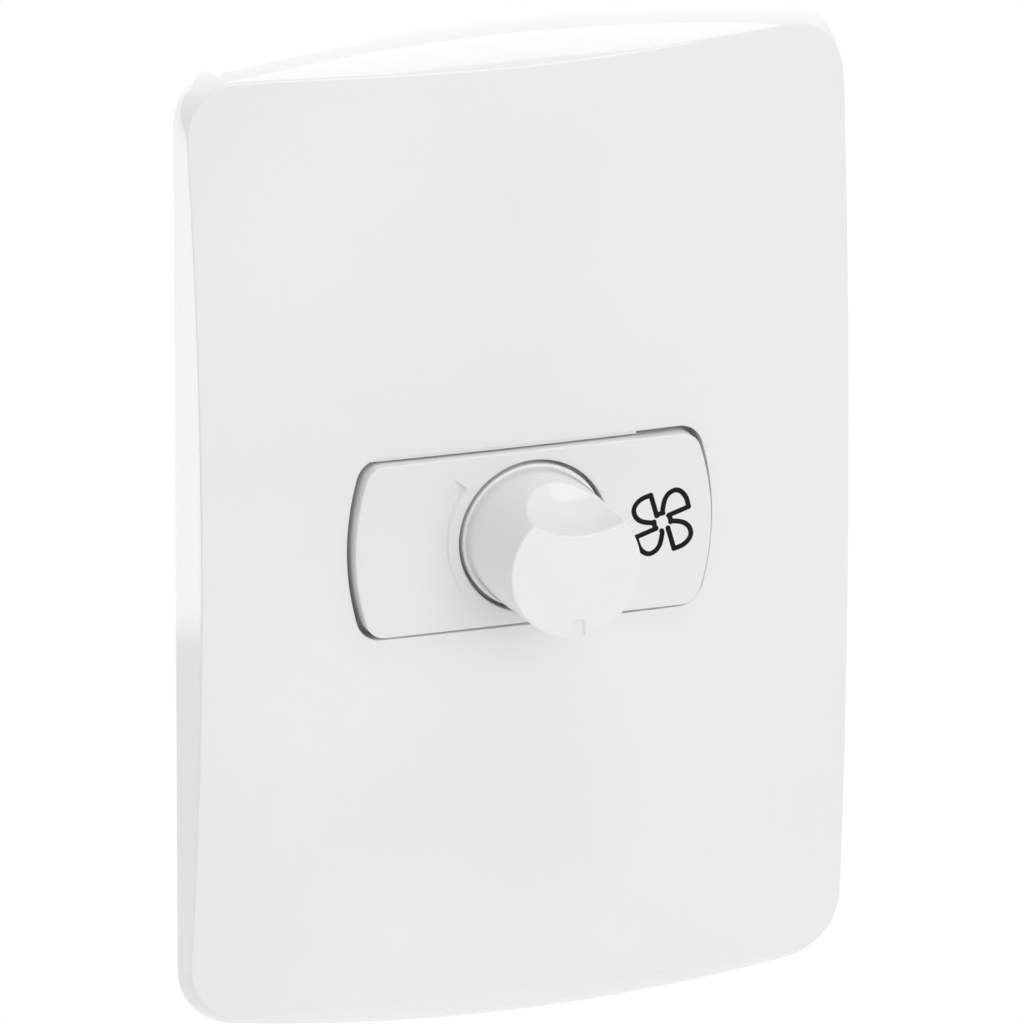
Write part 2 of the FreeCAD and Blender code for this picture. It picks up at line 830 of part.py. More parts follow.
def make_mounting_screws():
    """Slotted screws with a plain neck in the frame and a thread from the wall plane on."""
    seat = frame_thickness - head_recess
    front = seat + screw_head_height
    screws = []
    for side in (-1, 1):
        screw = turned_profile([(0, front), (screw_head_radius - screw_head_chamfer, front),
                                (screw_head_radius, front - screw_head_chamfer),
                                (screw_head_radius, seat), (screw_neck_radius, seat),
                                (screw_neck_radius, 0), (screw_radius, 0),
                                (screw_radius, -screw_depth), (0, -screw_depth)])
        slot = block(-screw_slot_width / 2, screw_slot_width / 2, -front - 1,
                     screw_slot_depth - front, -2 * screw_head_radius, 2 * screw_head_radius)
        screw = screw.cut(slot)
        screw.translate(V(0, 0, side * screw_spacing / 2))
        screws.append(screw)
    return group(screws)


# Housing


def board_rails():
    """Two ledges under the board and two short clips over its back end."""
    rails = []
    for side in (-1, 1):
        edges = [side * inner_half_length, side * (inner_half_length - board_rail_width)]
        x0 = min(edges)
        x1 = max(edges)
        clip_bottom = board_top + board_clip_gap
        rails.append(block(x0, x1, board_front_depth, inner_back, -inner_half_height, board_bottom))
        rails.append(block(x0, x1, inner_back - board_clip_length, inner_back,
                           clip_bottom, clip_bottom + board_clip_thickness))
    return rails


def frame_clips():
    """Two wedges that snap behind the frame's rebated edges."""
    clips = []
    for side in (-1, 1):
        x = side * housing_length / 2
        reach = side * (frame_clearance + clip_catch)
        front = clip_gap - clip_rebate
        corners = [V(x, front, -clip_width / 2), V(x + reach, front, -clip_width / 2),
                   V(x, front + clip_ramp, -clip_width / 2)]
        wedge = Part.Face(Part.makePolygon(corners + [corners[0]])).extrude(V(0, 0, clip_width))
        clips.append(wedge)
    return clips


def vent_places():
    """Depths of the vent slots, which stop before the screwdriver holes."""
    last = terminal_depth - driver_hole_radius - vent_margin - vent_width
    places = []
    depth = vent_first
    while depth <= last:
        places.append(depth)
        depth += vent_pitch
    return places


def make_rear_housing():
    half_z = housing_height / 2
    body = rounded_block(housing_length, housing_height, housing_corner_radius, -flange_front,
                         housing_depth)
    flange = rounded_block(housing_length + 2 * flange_margin, housing_height + 2 * flange_margin,
                           housing_corner_radius, -flange_front, -frame_thickness)
    body = fuse([body, flange])
    body = body.cut(block(-inner_half_length, inner_half_length, -flange_front - 1, inner_back,
                          -inner_half_height, inner_half_height))
    body = fuse([body] + frame_clips() + board_rails())
    cuts = []
    for y in vent_places():
        cuts.append(block(-vent_length / 2, vent_length / 2, y, y + vent_width, -half_z - 1, half_z + 1))
    catch_height = leg_back_height + leg_nose_length
    window_half = leg_width / 2 + frame_clearance
    for side in (-1, 1):
        window_x = side * leg_x
        cuts.append(block(window_x - window_half, window_x + window_half,
                          -catch_height - frame_clearance, clip_gap - leg_back_height,
                          -half_z - 1, -inner_half_height + clip_gap))
        cuts.append(block(window_x - window_half, window_x + window_half,
                          -catch_height - frame_clearance, clip_gap - leg_back_height,
                          inner_half_height - clip_gap, half_z + 1))
        wire_x = side * terminal_spacing / 2
        cuts.append(rod(wire_entry_radius, inner_back - 1, housing_depth + 1, wire_x, wire_z))
        cuts.append(post(driver_hole_radius, 0, half_z + 1, wire_x, terminal_depth))
    for cut in cuts:
        body = body.cut(cut)
    return body


# Circuit board and components


def pin_slot(x, y, width, thickness):
    """A clear slot in the board for a flat pin."""
    half_x = width / 2 + pin_clearance
    half_y = thickness / 2 + pin_clearance
    return block(x - half_x, x + half_x, y - half_y, y + half_y, board_bottom - 1, board_top + 1)


def lead_hole(x, y, radius):
    """A clear round hole in the board for a wire."""
    return post(radius + hole_clearance, board_bottom - 1, board_top + 1, x, y)


def board_cuts():
    """Every hole that the pins and wires need in the board."""
    cuts = [pin_slot(x, pot_leg_depth, pot_leg_width, 2 * pot_leg_thickness)
            for x in pot_leg_places()]
    cuts += [pin_slot(x, switch_leg_depth, switch_leg_width, switch_leg_thickness)
             for x in switch_leg_places()]
    cuts += [pin_slot(x, y, terminal_pin, terminal_pin) for x, y in terminal_pin_places()]
    cuts += [pin_slot(triac_leg_x(), y, triac_leg_thickness, triac_leg_width)
             for y in triac_leg_places()]
    cuts += [pin_slot(sink_x + sink_sheet / 2, y, sink_sheet, sink_leg_width)
             for y in sink_leg_places()]
    for place, pitch in ((film_place, film_pitch), (timing_place, timing_pitch)):
        cuts += [lead_hole(place[0] + side * pitch / 2, place[1], lead_radius) for side in (-1, 1)]
    for place in resistor_places:
        reach = resistor_length / 2 + axial_lead_span
        cuts += [lead_hole(place[0] + side * reach, place[1], lead_radius) for side in (-1, 1)]
    reach = diac_length / 2 + axial_lead_span
    cuts += [lead_hole(diac_place[0] + side * reach, diac_place[1], lead_radius) for side in (-1, 1)]
    cuts += [lead_hole(fuse_place[0], fuse_place[1] + side * fuse_pitch / 2, lead_radius)
             for side in (-1, 1)]
    cuts += [lead_hole(x, y, choke_wire / 2) for x, y in choke_end_places()]
    return cuts


def make_circuit_board():
    body = block(-board_half_width, board_half_width, board_front_depth, board_back_depth,
                 board_bottom, board_top)
    for cut in board_cuts():
        body = body.cut(cut)
    return body


def lead(x, y, top):
    """A component's wire through the board."""
    return post(lead_radius, lead_end, top, x, y)


def bent_lead(start, corner, y, z):
    """A wire that runs level from start to corner, and turns down through the board there."""
    path = Part.makePolygon([V(start, y, z), V(corner, y, z), V(corner, y, lead_end)])
    section = Part.Wire(Part.makeCircle(lead_radius, V(start, y, z), V(1, 0, 0)))
    solid_ends = True
    follow_path = False
    mitred = 1
    return path.makePipeShell([section], solid_ends, follow_path, mitred)


def axial_part(place, length, radius):
    """A straight body along X with a bent wire at each end."""
    x, y = place
    z = board_top + radius + component_rise
    half = length / 2
    parts = [Part.makeCylinder(radius, length, V(x - half, y, z), V(1, 0, 0))]
    for side in (-1, 1):
        start = x + side * (half - lead_radius)
        corner = x + side * (half + axial_lead_span)
        parts.append(bent_lead(start, corner, y, z))
    return fuse(parts)


def make_resistors():
    return group([axial_part(place, resistor_length, resistor_radius) for place in resistor_places])


def make_diac():
    return axial_part(diac_place, diac_length, diac_radius)


def make_fuse():
    """A round radial fuse standing on two wires."""
    x, y = fuse_place
    bottom = board_top + component_rise
    body = post(fuse_radius, bottom, bottom + fuse_height, x, y)
    leads = [lead(x, y + side * fuse_pitch / 2, bottom + lead_radius) for side in (-1, 1)]
    return fuse([body] + leads)


def box_capacitor(place, length, width, height, pitch):
    """A box-shaped capacitor on two wires."""
    x, y = place
    bottom = board_top + component_rise
    body = block(x - length / 2, x + length / 2, y - width / 2, y + width / 2, bottom, bottom + height)
    leads = [lead(x + side * pitch / 2, y, bottom + lead_radius) for side in (-1, 1)]
    return fuse([body] + leads)


def make_film_capacitor():
    return box_capacitor(film_place, film_length, film_width, film_height, film_pitch)


def make_timing_capacitor():
    return box_capacitor(timing_place, timing_length, timing_width, timing_height, timing_pitch)


def choke_base():
    """Height of the ring's underside above the knob's axis."""
    return board_top + choke_wire + choke_gap


def choke_end_places():
    """Where the winding's two ends go through the board, behind the ring."""
    x, y = choke_place
    behind = y + choke_outer / 2 + choke_wire / 2
    return [(x - choke_end_spacing / 2, behind), (x + choke_end_spacing / 2, behind)]


def make_choke_core():
    x, y = choke_place
    base = choke_base()
    outer = post(choke_outer / 2, base, base + choke_height, x, y)
    return outer.cut(post(choke_inner / 2, base - 1, base + choke_height + 1, x, y))


def make_choke_winding():
    """Square-cornered turns of wire about the ring, and two ends through the board."""
    x, y = choke_place
    half_wire = choke_wire / 2
    slack = choke_gap / 3
    in_x = (choke_outer - choke_inner) / 4 + slack
    in_z = choke_height / 2 + slack
    outside = block(-in_x - choke_wire, in_x + choke_wire, -half_wire, half_wire,
                    -in_z - choke_wire, in_z + choke_wire)
    inside = block(-in_x, in_x, -choke_wire, choke_wire, -in_z, in_z)
    turn = outside.cut(inside)
    middle_radius = (choke_outer + choke_inner) / 4
    turns = []
    for i in range(choke_turns):
        one = turn.copy()
        one.translate(V(middle_radius, 0, 0))
        one.rotate(V(0, 0, 0), V(0, 0, 1), 90 + 360 * (i + 0.5) / choke_turns)
        one.translate(V(x, y, choke_base() + choke_height / 2))
        turns.append(one)
    ends = [post(half_wire, lead_end, choke_base() + half_wire, end_x, end_y)
            for end_x, end_y in choke_end_places()]
    return group(turns + ends)


def triac_leg_x():
    """The plane of the triac's legs."""
    return sink_x - triac_thickness / 2


def triac_leg_places():
    """Depths of the triac's three legs."""
    return [triac_y - triac_pitch, triac_y, triac_y + triac_pitch]


def make_triac():
    """A flat package standing against the heat sink, with a screw hole through it."""
    base = board_top + triac_rise
    body = block(sink_x - triac_thickness, sink_x, triac_y - triac_width / 2,
                 triac_y + triac_width / 2, base, base + triac_height)
    hole = Part.makeCylinder(triac_hole_radius, 2 * triac_thickness,
                             V(sink_x - 1.5 * triac_thickness, triac_y, triac_screw_z), V(1, 0, 0))
    half_x = triac_leg_thickness / 2
    half_y = triac_leg_width / 2
    legs = [block(triac_leg_x() - half_x, triac_leg_x() + half_x, y - half_y, y + half_y,
                  lead_end, base) for y in triac_leg_places()]
    return fuse([body.cut(hole)] + legs)


def sink_leg_places():
    """Depths of the heat sink's two legs."""
    reach = sink_leg_inset + sink_leg_width / 2
    return [sink_front_depth + reach, component_back - reach]


def make_heat_sink():
    """A bent aluminium sheet: an upright plate, a top flange and two legs in the board."""
    plate = block(sink_x, sink_x + sink_sheet, sink_front_depth, component_back,
                  board_top + sink_rise, lid_height)
    flange = block(sink_x - sink_flange, sink_x + sink_sheet, sink_front_depth, component_back,
                   lid_height - sink_sheet, lid_height)
    legs = [block(sink_x, sink_x + sink_sheet, y - sink_leg_width / 2, y + sink_leg_width / 2,
                  lead_end, board_top + sink_rise) for y in sink_leg_places()]
    hole = Part.makeCylinder(triac_screw_radius + thread_clearance, 3 * sink_sheet,
                             V(sink_x - sink_sheet, triac_y, triac_screw_z), V(1, 0, 0))
    return fuse([plate, flange] + legs).cut(hole)


def make_triac_screw():
    """A slotted screw through the triac into the heat sink."""
    head_x = sink_x - triac_thickness - triac_head_height
    head = Part.makeCylinder(triac_head_radius, triac_head_height, V(head_x, triac_y, triac_screw_z),
                             V(1, 0, 0))
    shank = Part.makeCylinder(triac_screw_radius, triac_thickness + sink_sheet,
                              V(sink_x - triac_thickness, triac_y, triac_screw_z), V(1, 0, 0))
    slot = block(head_x - 1, head_x + triac_head_height / 2, triac_y - 2 * triac_head_radius,
                 triac_y + 2 * triac_head_radius, triac_screw_z - screw_slot_width / 2,
                 triac_screw_z + screw_slot_width / 2)
    return fuse([head.cut(slot), shank])


def terminal_pin_places():
    """Where the terminals' square pins go through the board."""
    places = []
    for side in (-1, 1):
        for y in (terminal_front + terminal_pin_inset, terminal_back - terminal_pin_inset):
            places.append((side * terminal_spacing / 2, y))
    return places


def make_terminal_posts():
    """Brass pillars: a wire hole from behind and a threaded hole from above."""
    top = board_top + terminal_height
    half = terminal_width / 2
    half_pin = terminal_pin / 2
    posts = []
    for side in (-1, 1):
        x = side * terminal_spacing / 2
        body = block(x - half, x + half, terminal_front, terminal_back, board_top + thread_clearance, top)
        body = body.cut(rod(terminal_wire_radius, terminal_front + terminal_wire_wall,
                            terminal_back + 1, x, wire_z))
        body = body.cut(post(terminal_thread_radius, wire_z, top + 1, x, terminal_depth))
        pins = [block(x - half_pin, x + half_pin, y - half_pin, y + half_pin, lead_end,
                      board_top + thread_clearance)
                for pin_x, y in terminal_pin_places() if pin_x == x]
        posts.append(fuse([body] + pins))
    return group(posts)


def make_terminal_screws():
    """Slotted screws that press on the wires, with their heads under the housing's holes."""
    tip = wire_z + terminal_wire_radius + frame_clearance
    neck = lid_height - terminal_head_height
    half_slot = terminal_slot_width / 2
    screws = []
    for side in (-1, 1):
        x = side * terminal_spacing / 2
        shank = post(terminal_screw_radius, tip, neck, x, terminal_depth)
        head = post(terminal_head_radius, neck, lid_height, x, terminal_depth)
        slot = block(x - 2 * terminal_head_radius, x + 2 * terminal_head_radius,
                     terminal_depth - half_slot, terminal_depth + half_slot,
                     lid_height - terminal_head_height / 2, lid_height + 1)
        screws.append(fuse([shank, head.cut(slot)]))
    return group(screws)


nodes = {
    "cover_plate": make_cover_plate,
    "front_insert": make_front_insert,
    "knob": make_knob,
    "knob_spring": make_knob_spring,
    "pot_shaft": make_pot_shaft,
    "retaining_ring": make_retaining_ring,
    "pot_bushing": make_pot_bushing,
    "pot_washer": make_pot_washer,
    "pot_nut": make_pot_nut,
    "pot_case": make_pot_case,
    "resistor_wafer": make_resistor_wafer,
    "wiper": make_wiper,
    "pot_terminals": make_pot_terminals,
    "switch_case": make_switch_case,
    "switch_terminals": make_switch_terminals,
    "support_frame": make_support_frame,
    "mounting_screws": make_mounting_screws,
    "rear_housing": make_rear_housing,
    "circuit_board": make_circuit_board,
    "resistors": make_resistors,
    "diac": make_diac,
    "fuse": make_fuse,
    "film_capacitor": make_film_capacitor,
    "timing_capacitor": make_timing_capacitor,
    "choke_core": make_choke_core,
    "choke_winding": make_choke_winding,
    "triac": make_triac,
    "heat_sink": make_heat_sink,
    "triac_screw": make_triac_screw,
    "terminal_posts": make_terminal_posts,
    "terminal_screws": make_terminal_screws,
}

os.makedirs("parts", exist_ok=True)
for name, make in nodes.items():
    shape = make()
    shape.exportStep("parts/" + name + ".step")
    print(name, len(shape.Solids), "solids", shape.isValid(), round(shape.Volume, 2))
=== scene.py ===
# %% [markdown]
# A wall-mounted fan speed control: a domed white wall plate, a slim module front set into it, and
# a round knob with a finger scoop. The solids already exist as a fixed frame. This file replaces
# the three white mouldings by finer surfaces of the same form, adds the printed sign, gives every
# piece its finish, and sets the camera, a white background and soft lamps.

# %% Load the frame
import json
import math
import bmesh
import bpy
import numpy as np
from mathutils import Matrix, Vector


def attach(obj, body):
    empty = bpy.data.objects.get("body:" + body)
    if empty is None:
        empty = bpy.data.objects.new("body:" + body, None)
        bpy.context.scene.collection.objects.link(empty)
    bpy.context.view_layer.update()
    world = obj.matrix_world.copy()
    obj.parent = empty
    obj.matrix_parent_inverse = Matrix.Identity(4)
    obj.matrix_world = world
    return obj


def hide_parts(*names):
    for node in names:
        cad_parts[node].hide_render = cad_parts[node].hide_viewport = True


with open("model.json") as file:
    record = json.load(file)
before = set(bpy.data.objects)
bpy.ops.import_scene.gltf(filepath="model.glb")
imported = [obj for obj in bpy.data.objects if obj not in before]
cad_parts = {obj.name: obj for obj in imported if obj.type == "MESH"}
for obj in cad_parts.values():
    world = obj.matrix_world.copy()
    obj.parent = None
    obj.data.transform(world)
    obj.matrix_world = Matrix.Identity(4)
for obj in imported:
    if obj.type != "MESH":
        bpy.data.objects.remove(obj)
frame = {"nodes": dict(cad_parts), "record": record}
bpy.context.scene.view_settings.view_transform = "Standard"
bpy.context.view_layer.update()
nodes = frame["nodes"]

# %% [markdown]
# Everything below is worked out in millimetres, in the frame's own axes: X to the right, Z up, and
# height h in front of the wall, which is -Y. Blender works in metres, so one function turns such
# points into metres. A mesh could also be scaled at the end, but a finished piece has to sit at
# the origin with no scale of its own, so the scale goes into its points.

# %% Points
MM = 0.001


def place(x, h, z):
    """Points in metres from x, height in front of the wall and z in millimetres."""
    x, h, z = np.broadcast_arrays(x, h, z)
    return np.stack([x, -h, z], axis=-1) * MM


print("a millimetre to the right, in metres", place(1, 0, 0))

# %% [markdown]
# A moulding could be shaped by hand from a cage. Here each surface is a grid of points that a
# formula gives, so every size stays a named number. One function joins the points of a grid with
# faces, and another adds two flat caps, which makes a closed bar.

# %% Surfaces from grids
def grid_shell(points, close_rows=False):
    """A surface from rows of points: each quad joins two neighbours in two neighbouring rows.

    The columns always close on themselves. The rows close too when the surface is a ring.
    """
    rows, columns = points.shape[:2]
    index = np.arange(rows * columns).reshape(rows, columns)
    index = np.concatenate([index, index[:, :1]], axis=1)
    if close_rows:
        index = np.concatenate([index, index[:1]], axis=0)
    quads = np.stack([index[:-1, :-1], index[1:, :-1], index[1:, 1:], index[:-1, 1:]], axis=-1)
    return points.reshape(-1, 3), quads.reshape(-1, 4).tolist()


def bar_shell(loops):
    """A closed bar: the walls of a row of loops, with a flat cap on its first and last loop."""
    points, faces = grid_shell(loops)
    corners = loops.shape[1]
    last = len(points) - corners
    faces.append(list(range(corners)))
    faces.append(list(range(last, len(points)))[::-1])
    return points, faces


print("a bar between two squares has", len(bar_shell(np.zeros((2, 4, 3)))[1]), "faces")

# %% [markdown]
# A piece is one mesh made of one or more closed surfaces. Points that coincide are merged, the
# faces are turned outwards, and the mesh is shaded smooth, with its real edges kept sharp. The
# piece then goes on its body. The count of open edges shows that it is closed.

# %% Pieces
MERGE_METRES = 1e-7


def into_scene(name, data):
    """A new object that shows the data, linked to the scene."""
    item = bpy.data.objects.new(name, data)
    bpy.context.collection.objects.link(item)
    return item


def edge_uses(mesh):
    """How many faces meet at each edge: 2 everywhere on a closed surface."""
    loops = np.empty(len(mesh.loops), int)
    mesh.loops.foreach_get("edge_index", loops)
    return np.bincount(loops, minlength=len(mesh.edges))


def make_piece(name, shells, body, sharp):
    """One object from several shells, merged, facing outwards, and on its body."""
    starts = np.cumsum([0] + [len(points) for points, _ in shells])
    faces = [[i + start for i in face]
             for (_, some), start in zip(shells, starts) for face in some]
    mesh = bpy.data.meshes.new(name)
    mesh.from_pydata(np.concatenate([points for points, _ in shells]).tolist(), [], faces)
    work = bmesh.new()
    work.from_mesh(mesh)
    bmesh.ops.remove_doubles(work, verts=work.verts, dist=MERGE_METRES)
    bmesh.ops.dissolve_degenerate(work, edges=work.edges, dist=MERGE_METRES)
    bmesh.ops.recalc_face_normals(work, faces=work.faces)
    work.to_mesh(mesh)
    work.free()
    mesh.shade_smooth()
    mesh.set_sharp_from_angle(angle=math.radians(sharp))
    piece = into_scene(name, mesh)
    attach(piece, body)
    open_edges = int(np.count_nonzero(edge_uses(mesh) != 2))
    print(name, "triangles", sum(len(p.vertices) - 2 for p in mesh.polygons), "open", open_edges)
    return piece


# %% [markdown]
# The plate's outline has straight sides, ends that are wide arcs, and arcs at the corners. The
# same form, turned a quarter, is the module's outline and the opening for it. A curve object could
# trace it, but a function of one parameter also serves for every height of the flank. It gives a
# quarter.

# %% The bowed outline
def quarter_outline(u, across, along, bow, corner):
    """A quarter of a bowed outline, for u from 0 to 3.

    From 0 to 1 the point climbs the straight side, from 1 to 2 it goes round the corner's arc, and
    from 2 to 3 it follows the end's wide arc to the middle. The wide arc's radius comes from its
    chord and bow, and the corner's centre lies one corner radius inside the side and that arc.
    """
    end_radius = (across ** 2 + bow ** 2) / (2 * bow)
    end_centre = along - end_radius
    corner_x = across - corner
    rise = np.sqrt((end_radius - corner) ** 2 - corner_x ** 2)
    corner_z = end_centre + rise
    turn = np.arctan2(rise, corner_x)
    round_angle = turn * np.clip(u - 1, 0, 1)
    end_angle = turn + (np.pi / 2 - turn) * np.clip(u - 2, 0, 1)
    x = np.where(u < 2, corner_x + corner * np.cos(round_angle), end_radius * np.cos(end_angle))
    z = np.where(u < 1, corner_z * u, corner_z + corner * np.sin(round_angle))
    z = np.where(u < 2, z, end_centre + end_radius * np.sin(end_angle))
    return x, z


ends_x, ends_z = quarter_outline(np.array([0, 3]), 4, 6, 1, 2)
print("a 4 x 6 outline goes from", ends_x[0], ends_z[0], "to", round(ends_x[1], 3), ends_z[1])

# %% [markdown]
# A walk round the whole outline takes the quarter four times, each time mirrored. The corners bend
# most, so they get closer columns than the long straight sides.

# %% Columns round the outline
def quarter_columns(side, corner, end):
    """Values of u with the wanted number of steps on the side, round the corner and on the end."""
    return np.concatenate([np.linspace(0, 1, side, endpoint=False),
                           np.linspace(1, 2, corner, endpoint=False),
                           np.linspace(2, 3, end + 1)])


def all_round(u):
    """u and the signs of x and z for a closed walk: each quarter mirrors the one before."""
    there = u[:-1]
    back = u[::-1][:-1]
    one = np.ones(len(there))
    walk = np.concatenate([there, back, there, back])
    sign_x = np.concatenate([one, -one, -one, one])
    sign_z = np.concatenate([one, one, -one, -one])
    return walk, sign_x, sign_z


print("1, 2 and 3 columns a quarter give", len(all_round(quarter_columns(1, 2, 3))[0]))

# %% [markdown]
# The cover plate is one injection moulding with a polished face. Its face is a shallow dome that
# falls away to the sides, the ends and most of all the corners. Its flank leans in by a plain
# draft at the sides, and rolls over towards the face at the ends. It could be a subdivided cage,
# but the dome and the flank each have a plain formula, so the point where they meet is solved for
# each column, and the whole wall is one closed grid: rim, flank, edge, dome, opening and inside.

# %% Sizes of the cover plate
# half the width and the height, how far an end bows out, the corners' radius, and the wall
PLATE_ACROSS = 40.15
PLATE_ALONG = 60.0
PLATE_BOW = 3.4
PLATE_CORNER = 7.2
PLATE_WALL = 2.0
# how far the flank leans in for a millimetre of height, and at the ends also for its square
SIDE_DRAFT = 0.12
END_DRAFT = 0.10
END_ROLL = 0.096
# the dome's middle, and how far it drops at a side, at an end, and at a corner beyond both
DOME_HEIGHT = 8.2
DOME_DROPS = (1.55, 1.95, 2.76)
# the roundings of the face's edge and of the opening's edge
FACE_EDGE_ROUND = 0.25
OPENING_ROUND = 0.12
# the module's outline, the gap round it, and the collar behind the opening's edge
INSERT_ACROSS = 10.25
INSERT_ALONG = 21.6
INSERT_BOW = 1.92
INSERT_CORNER = 2.4
OPENING_GAP = 0.57
COLLAR_WALL = 1.2
COLLAR_BACK = 4.4
print("plate", 2 * PLATE_ACROSS, "x", 2 * PLATE_ALONG, "mm with a wall of", PLATE_WALL)

# %% [markdown]
# Dome and flank are functions of place and height. Where they meet has no plain formula, so that
# height is found by halving a range again and again, for all columns at once. The inside of the
# wall is found in the same way, with the flank moved in and the dome moved down.

# %% Dome, flank and opening
HALVINGS = 40


def dome(x, z):
    """Height of the face: the dome's height, less a share of x squared, z squared and both."""
    u = (x / PLATE_ACROSS) ** 2
    v = (z / PLATE_ALONG) ** 2
    return DOME_HEIGHT - DOME_DROPS[0] * u - DOME_DROPS[1] * v - DOME_DROPS[2] * u * v


def flank(u, h, inset):
    """The flank's quarter outline at height h: sides draw in evenly, ends faster and faster."""
    across = PLATE_ACROSS - SIDE_DRAFT * h - inset
    along = PLATE_ALONG - END_DRAFT * h - END_ROLL * h ** 2 - inset
    bow = PLATE_BOW * across / PLATE_ACROSS
    return quarter_outline(u, across, along, bow, PLATE_CORNER - inset)


def face_edge_height(u, inset, drop):
    """Where the flank meets the dome, found by halving the range for every column at once."""
    low = np.zeros_like(u)
    high = np.full_like(u, DOME_HEIGHT)
    for _ in range(HALVINGS):
        middle = (low + high) / 2
        x, z = flank(u, middle, inset)
        under = dome(x, z) - drop > middle
        low = np.where(under, middle, low)
        high = np.where(under, high, middle)
    return low


def opening(u, margin):
    """The module's outline grown by a margin, walked from its end's middle to its long side's."""
    z, x = quarter_outline(3 - u, INSERT_ACROSS + margin, INSERT_ALONG + margin, INSERT_BOW,
                           INSERT_CORNER + margin)
    return x, z


print("dome at the middle and a side", dome(0, 0), round(dome(PLATE_ACROSS, 0), 2))

# %% [markdown]
# The plate's edges are small roundings. A bevel modifier would round them too, but it would move
# the columns that the dome's smooth shading needs. So each rounding is a curve of its own between
# two points, which lie a little way off the corner along the surfaces that meet there.

# %% Rounded edges
def bend(start, corner, end, steps):
    """A rounded edge: a curve from start to end that leans on the corner between them."""
    t = np.linspace(0, 1, steps)[:, None, None]
    return (1 - t) ** 2 * start + 2 * t * (1 - t) * corner + t ** 2 * end


def towards(point, other, distance):
    """The point moved a distance towards another, for every column."""
    step = other - point
    return point + step * distance / np.linalg.norm(step, axis=-1, keepdims=True)


print("a right angle's middle", bend(np.array([[1, 0]]), 0, np.array([[0, 1]]), 3)[1, 0])

# %% [markdown]
# The rows start at the rim on the wall. They climb the flank, go round the edge, cross the dome to
# the opening, and go round its edge. A loft between a few outlines would be simpler, but here each
# row lies on the flank or on the dome itself, so the gloss shows no waves.

# %% Outer rows of the cover plate
FLANK_ROWS, EDGE_ROWS, FACE_ROWS, OPENING_ROWS = 14, 7, 30, 6
PLATE_COLUMNS = (22, 30, 30)
# short ways from the face's edge, which only give the two directions that its rounding follows
SHORT_WAY_DOWN = 0.1
SHORT_WAY_IN = 0.02


def stack(x, h, z):
    """Points in millimetres, one for each column."""
    return np.stack(np.broadcast_arrays(x, h, z), axis=-1)


def outer_rows(u):
    """Rows of the plate's outside, from the rim over the face to just inside the opening."""
    edge = face_edge_height(u, 0.0, 0.0)
    edge_x, edge_z = flank(u, edge, 0.0)
    hole_x, hole_z = opening(u, OPENING_GAP)
    corner = stack(edge_x, edge, edge_z)
    below_x, below_z = flank(u, edge - SHORT_WAY_DOWN, 0.0)
    below = stack(below_x, edge - SHORT_WAY_DOWN, below_z)
    inward_x = edge_x + SHORT_WAY_IN * (hole_x - edge_x)
    inward_z = edge_z + SHORT_WAY_IN * (hole_z - edge_z)
    inward = stack(inward_x, dome(inward_x, inward_z), inward_z)
    start = towards(corner, below, FACE_EDGE_ROUND)
    end = towards(corner, inward, FACE_EDGE_ROUND)
    rows = []
    for t in np.linspace(0, 1, FLANK_ROWS)[:-1]:
        h = start[:, 1] * t
        x, z = flank(u, h, 0.0)
        rows.append(stack(x, h, z))
    rows += list(bend(start, corner, end, EDGE_ROWS))
    hole_h = dome(hole_x, hole_z)
    lip = stack(hole_x, hole_h, hole_z)
    before = towards(lip, end, OPENING_ROUND)
    for t in np.linspace(0, 1, FACE_ROWS)[1:-1]:
        x = end[:, 0] + t * (before[:, 0] - end[:, 0])
        z = end[:, 2] + t * (before[:, 2] - end[:, 2])
        rows.append(stack(x, dome(x, z), z))
    before = stack(before[:, 0], dome(before[:, 0], before[:, 2]), before[:, 2])
    down = stack(hole_x, hole_h - OPENING_ROUND, hole_z)
    return rows + list(bend(before, lip, down, OPENING_ROWS))


plate_u, plate_sign_x, plate_sign_z = all_round(quarter_columns(*PLATE_COLUMNS))
plate_rows = outer_rows(plate_u)
print("outer rows", len(plate_rows), "with", len(plate_u), "columns")

# %% [markdown]
# The inner rows go down the opening's collar, back up behind it, out behind the dome and down to
# the rim. The last row joins the first, so the wall is closed. The walk's signs then put each
# column in its own quarter. A solidify modifier could give the wall its thickness, but it would
# make no collar, and would fold over itself behind the small rounding of the face's edge.

# %% Inner rows of the cover plate
INSIDE_ROWS, BACK_ROWS = 14, 8


def inner_rows(u):
    """Rows of the plate's inside, from the collar round the opening back to the rim."""
    hole_x, hole_z = opening(u, OPENING_GAP)
    collar_x, collar_z = opening(u, OPENING_GAP + COLLAR_WALL)
    inner_edge = face_edge_height(u, PLATE_WALL, PLATE_WALL)
    inner_x, inner_z = flank(u, inner_edge, PLATE_WALL)
    rows = [stack(hole_x, COLLAR_BACK, hole_z), stack(collar_x, COLLAR_BACK, collar_z)]
    for t in np.linspace(0, 1, INSIDE_ROWS):
        x = collar_x + t * (inner_x - collar_x)
        z = collar_z + t * (inner_z - collar_z)
        rows.append(stack(x, dome(x, z) - PLATE_WALL, z))
    for t in np.linspace(1, 0, BACK_ROWS)[1:]:
        x, z = flank(u, inner_edge * t, PLATE_WALL)
        rows.append(stack(x, inner_edge * t, z))
    return rows


plate_points = np.stack(plate_rows + inner_rows(plate_u))
plate_wall = grid_shell(place(plate_points[..., 0] * plate_sign_x, plate_points[..., 1],
                              plate_points[..., 2] * plate_sign_z), close_rows=True)
print("plate rows and columns", plate_points.shape[:2])

# %% [markdown]
# Behind the face, thin ribs run along and across the back of the dome and stiffen it. On the real
# plate they are one with the wall. Here they are bars that follow the dome and are sunk a little
# way into the wall, which looks the same and needs no boolean.

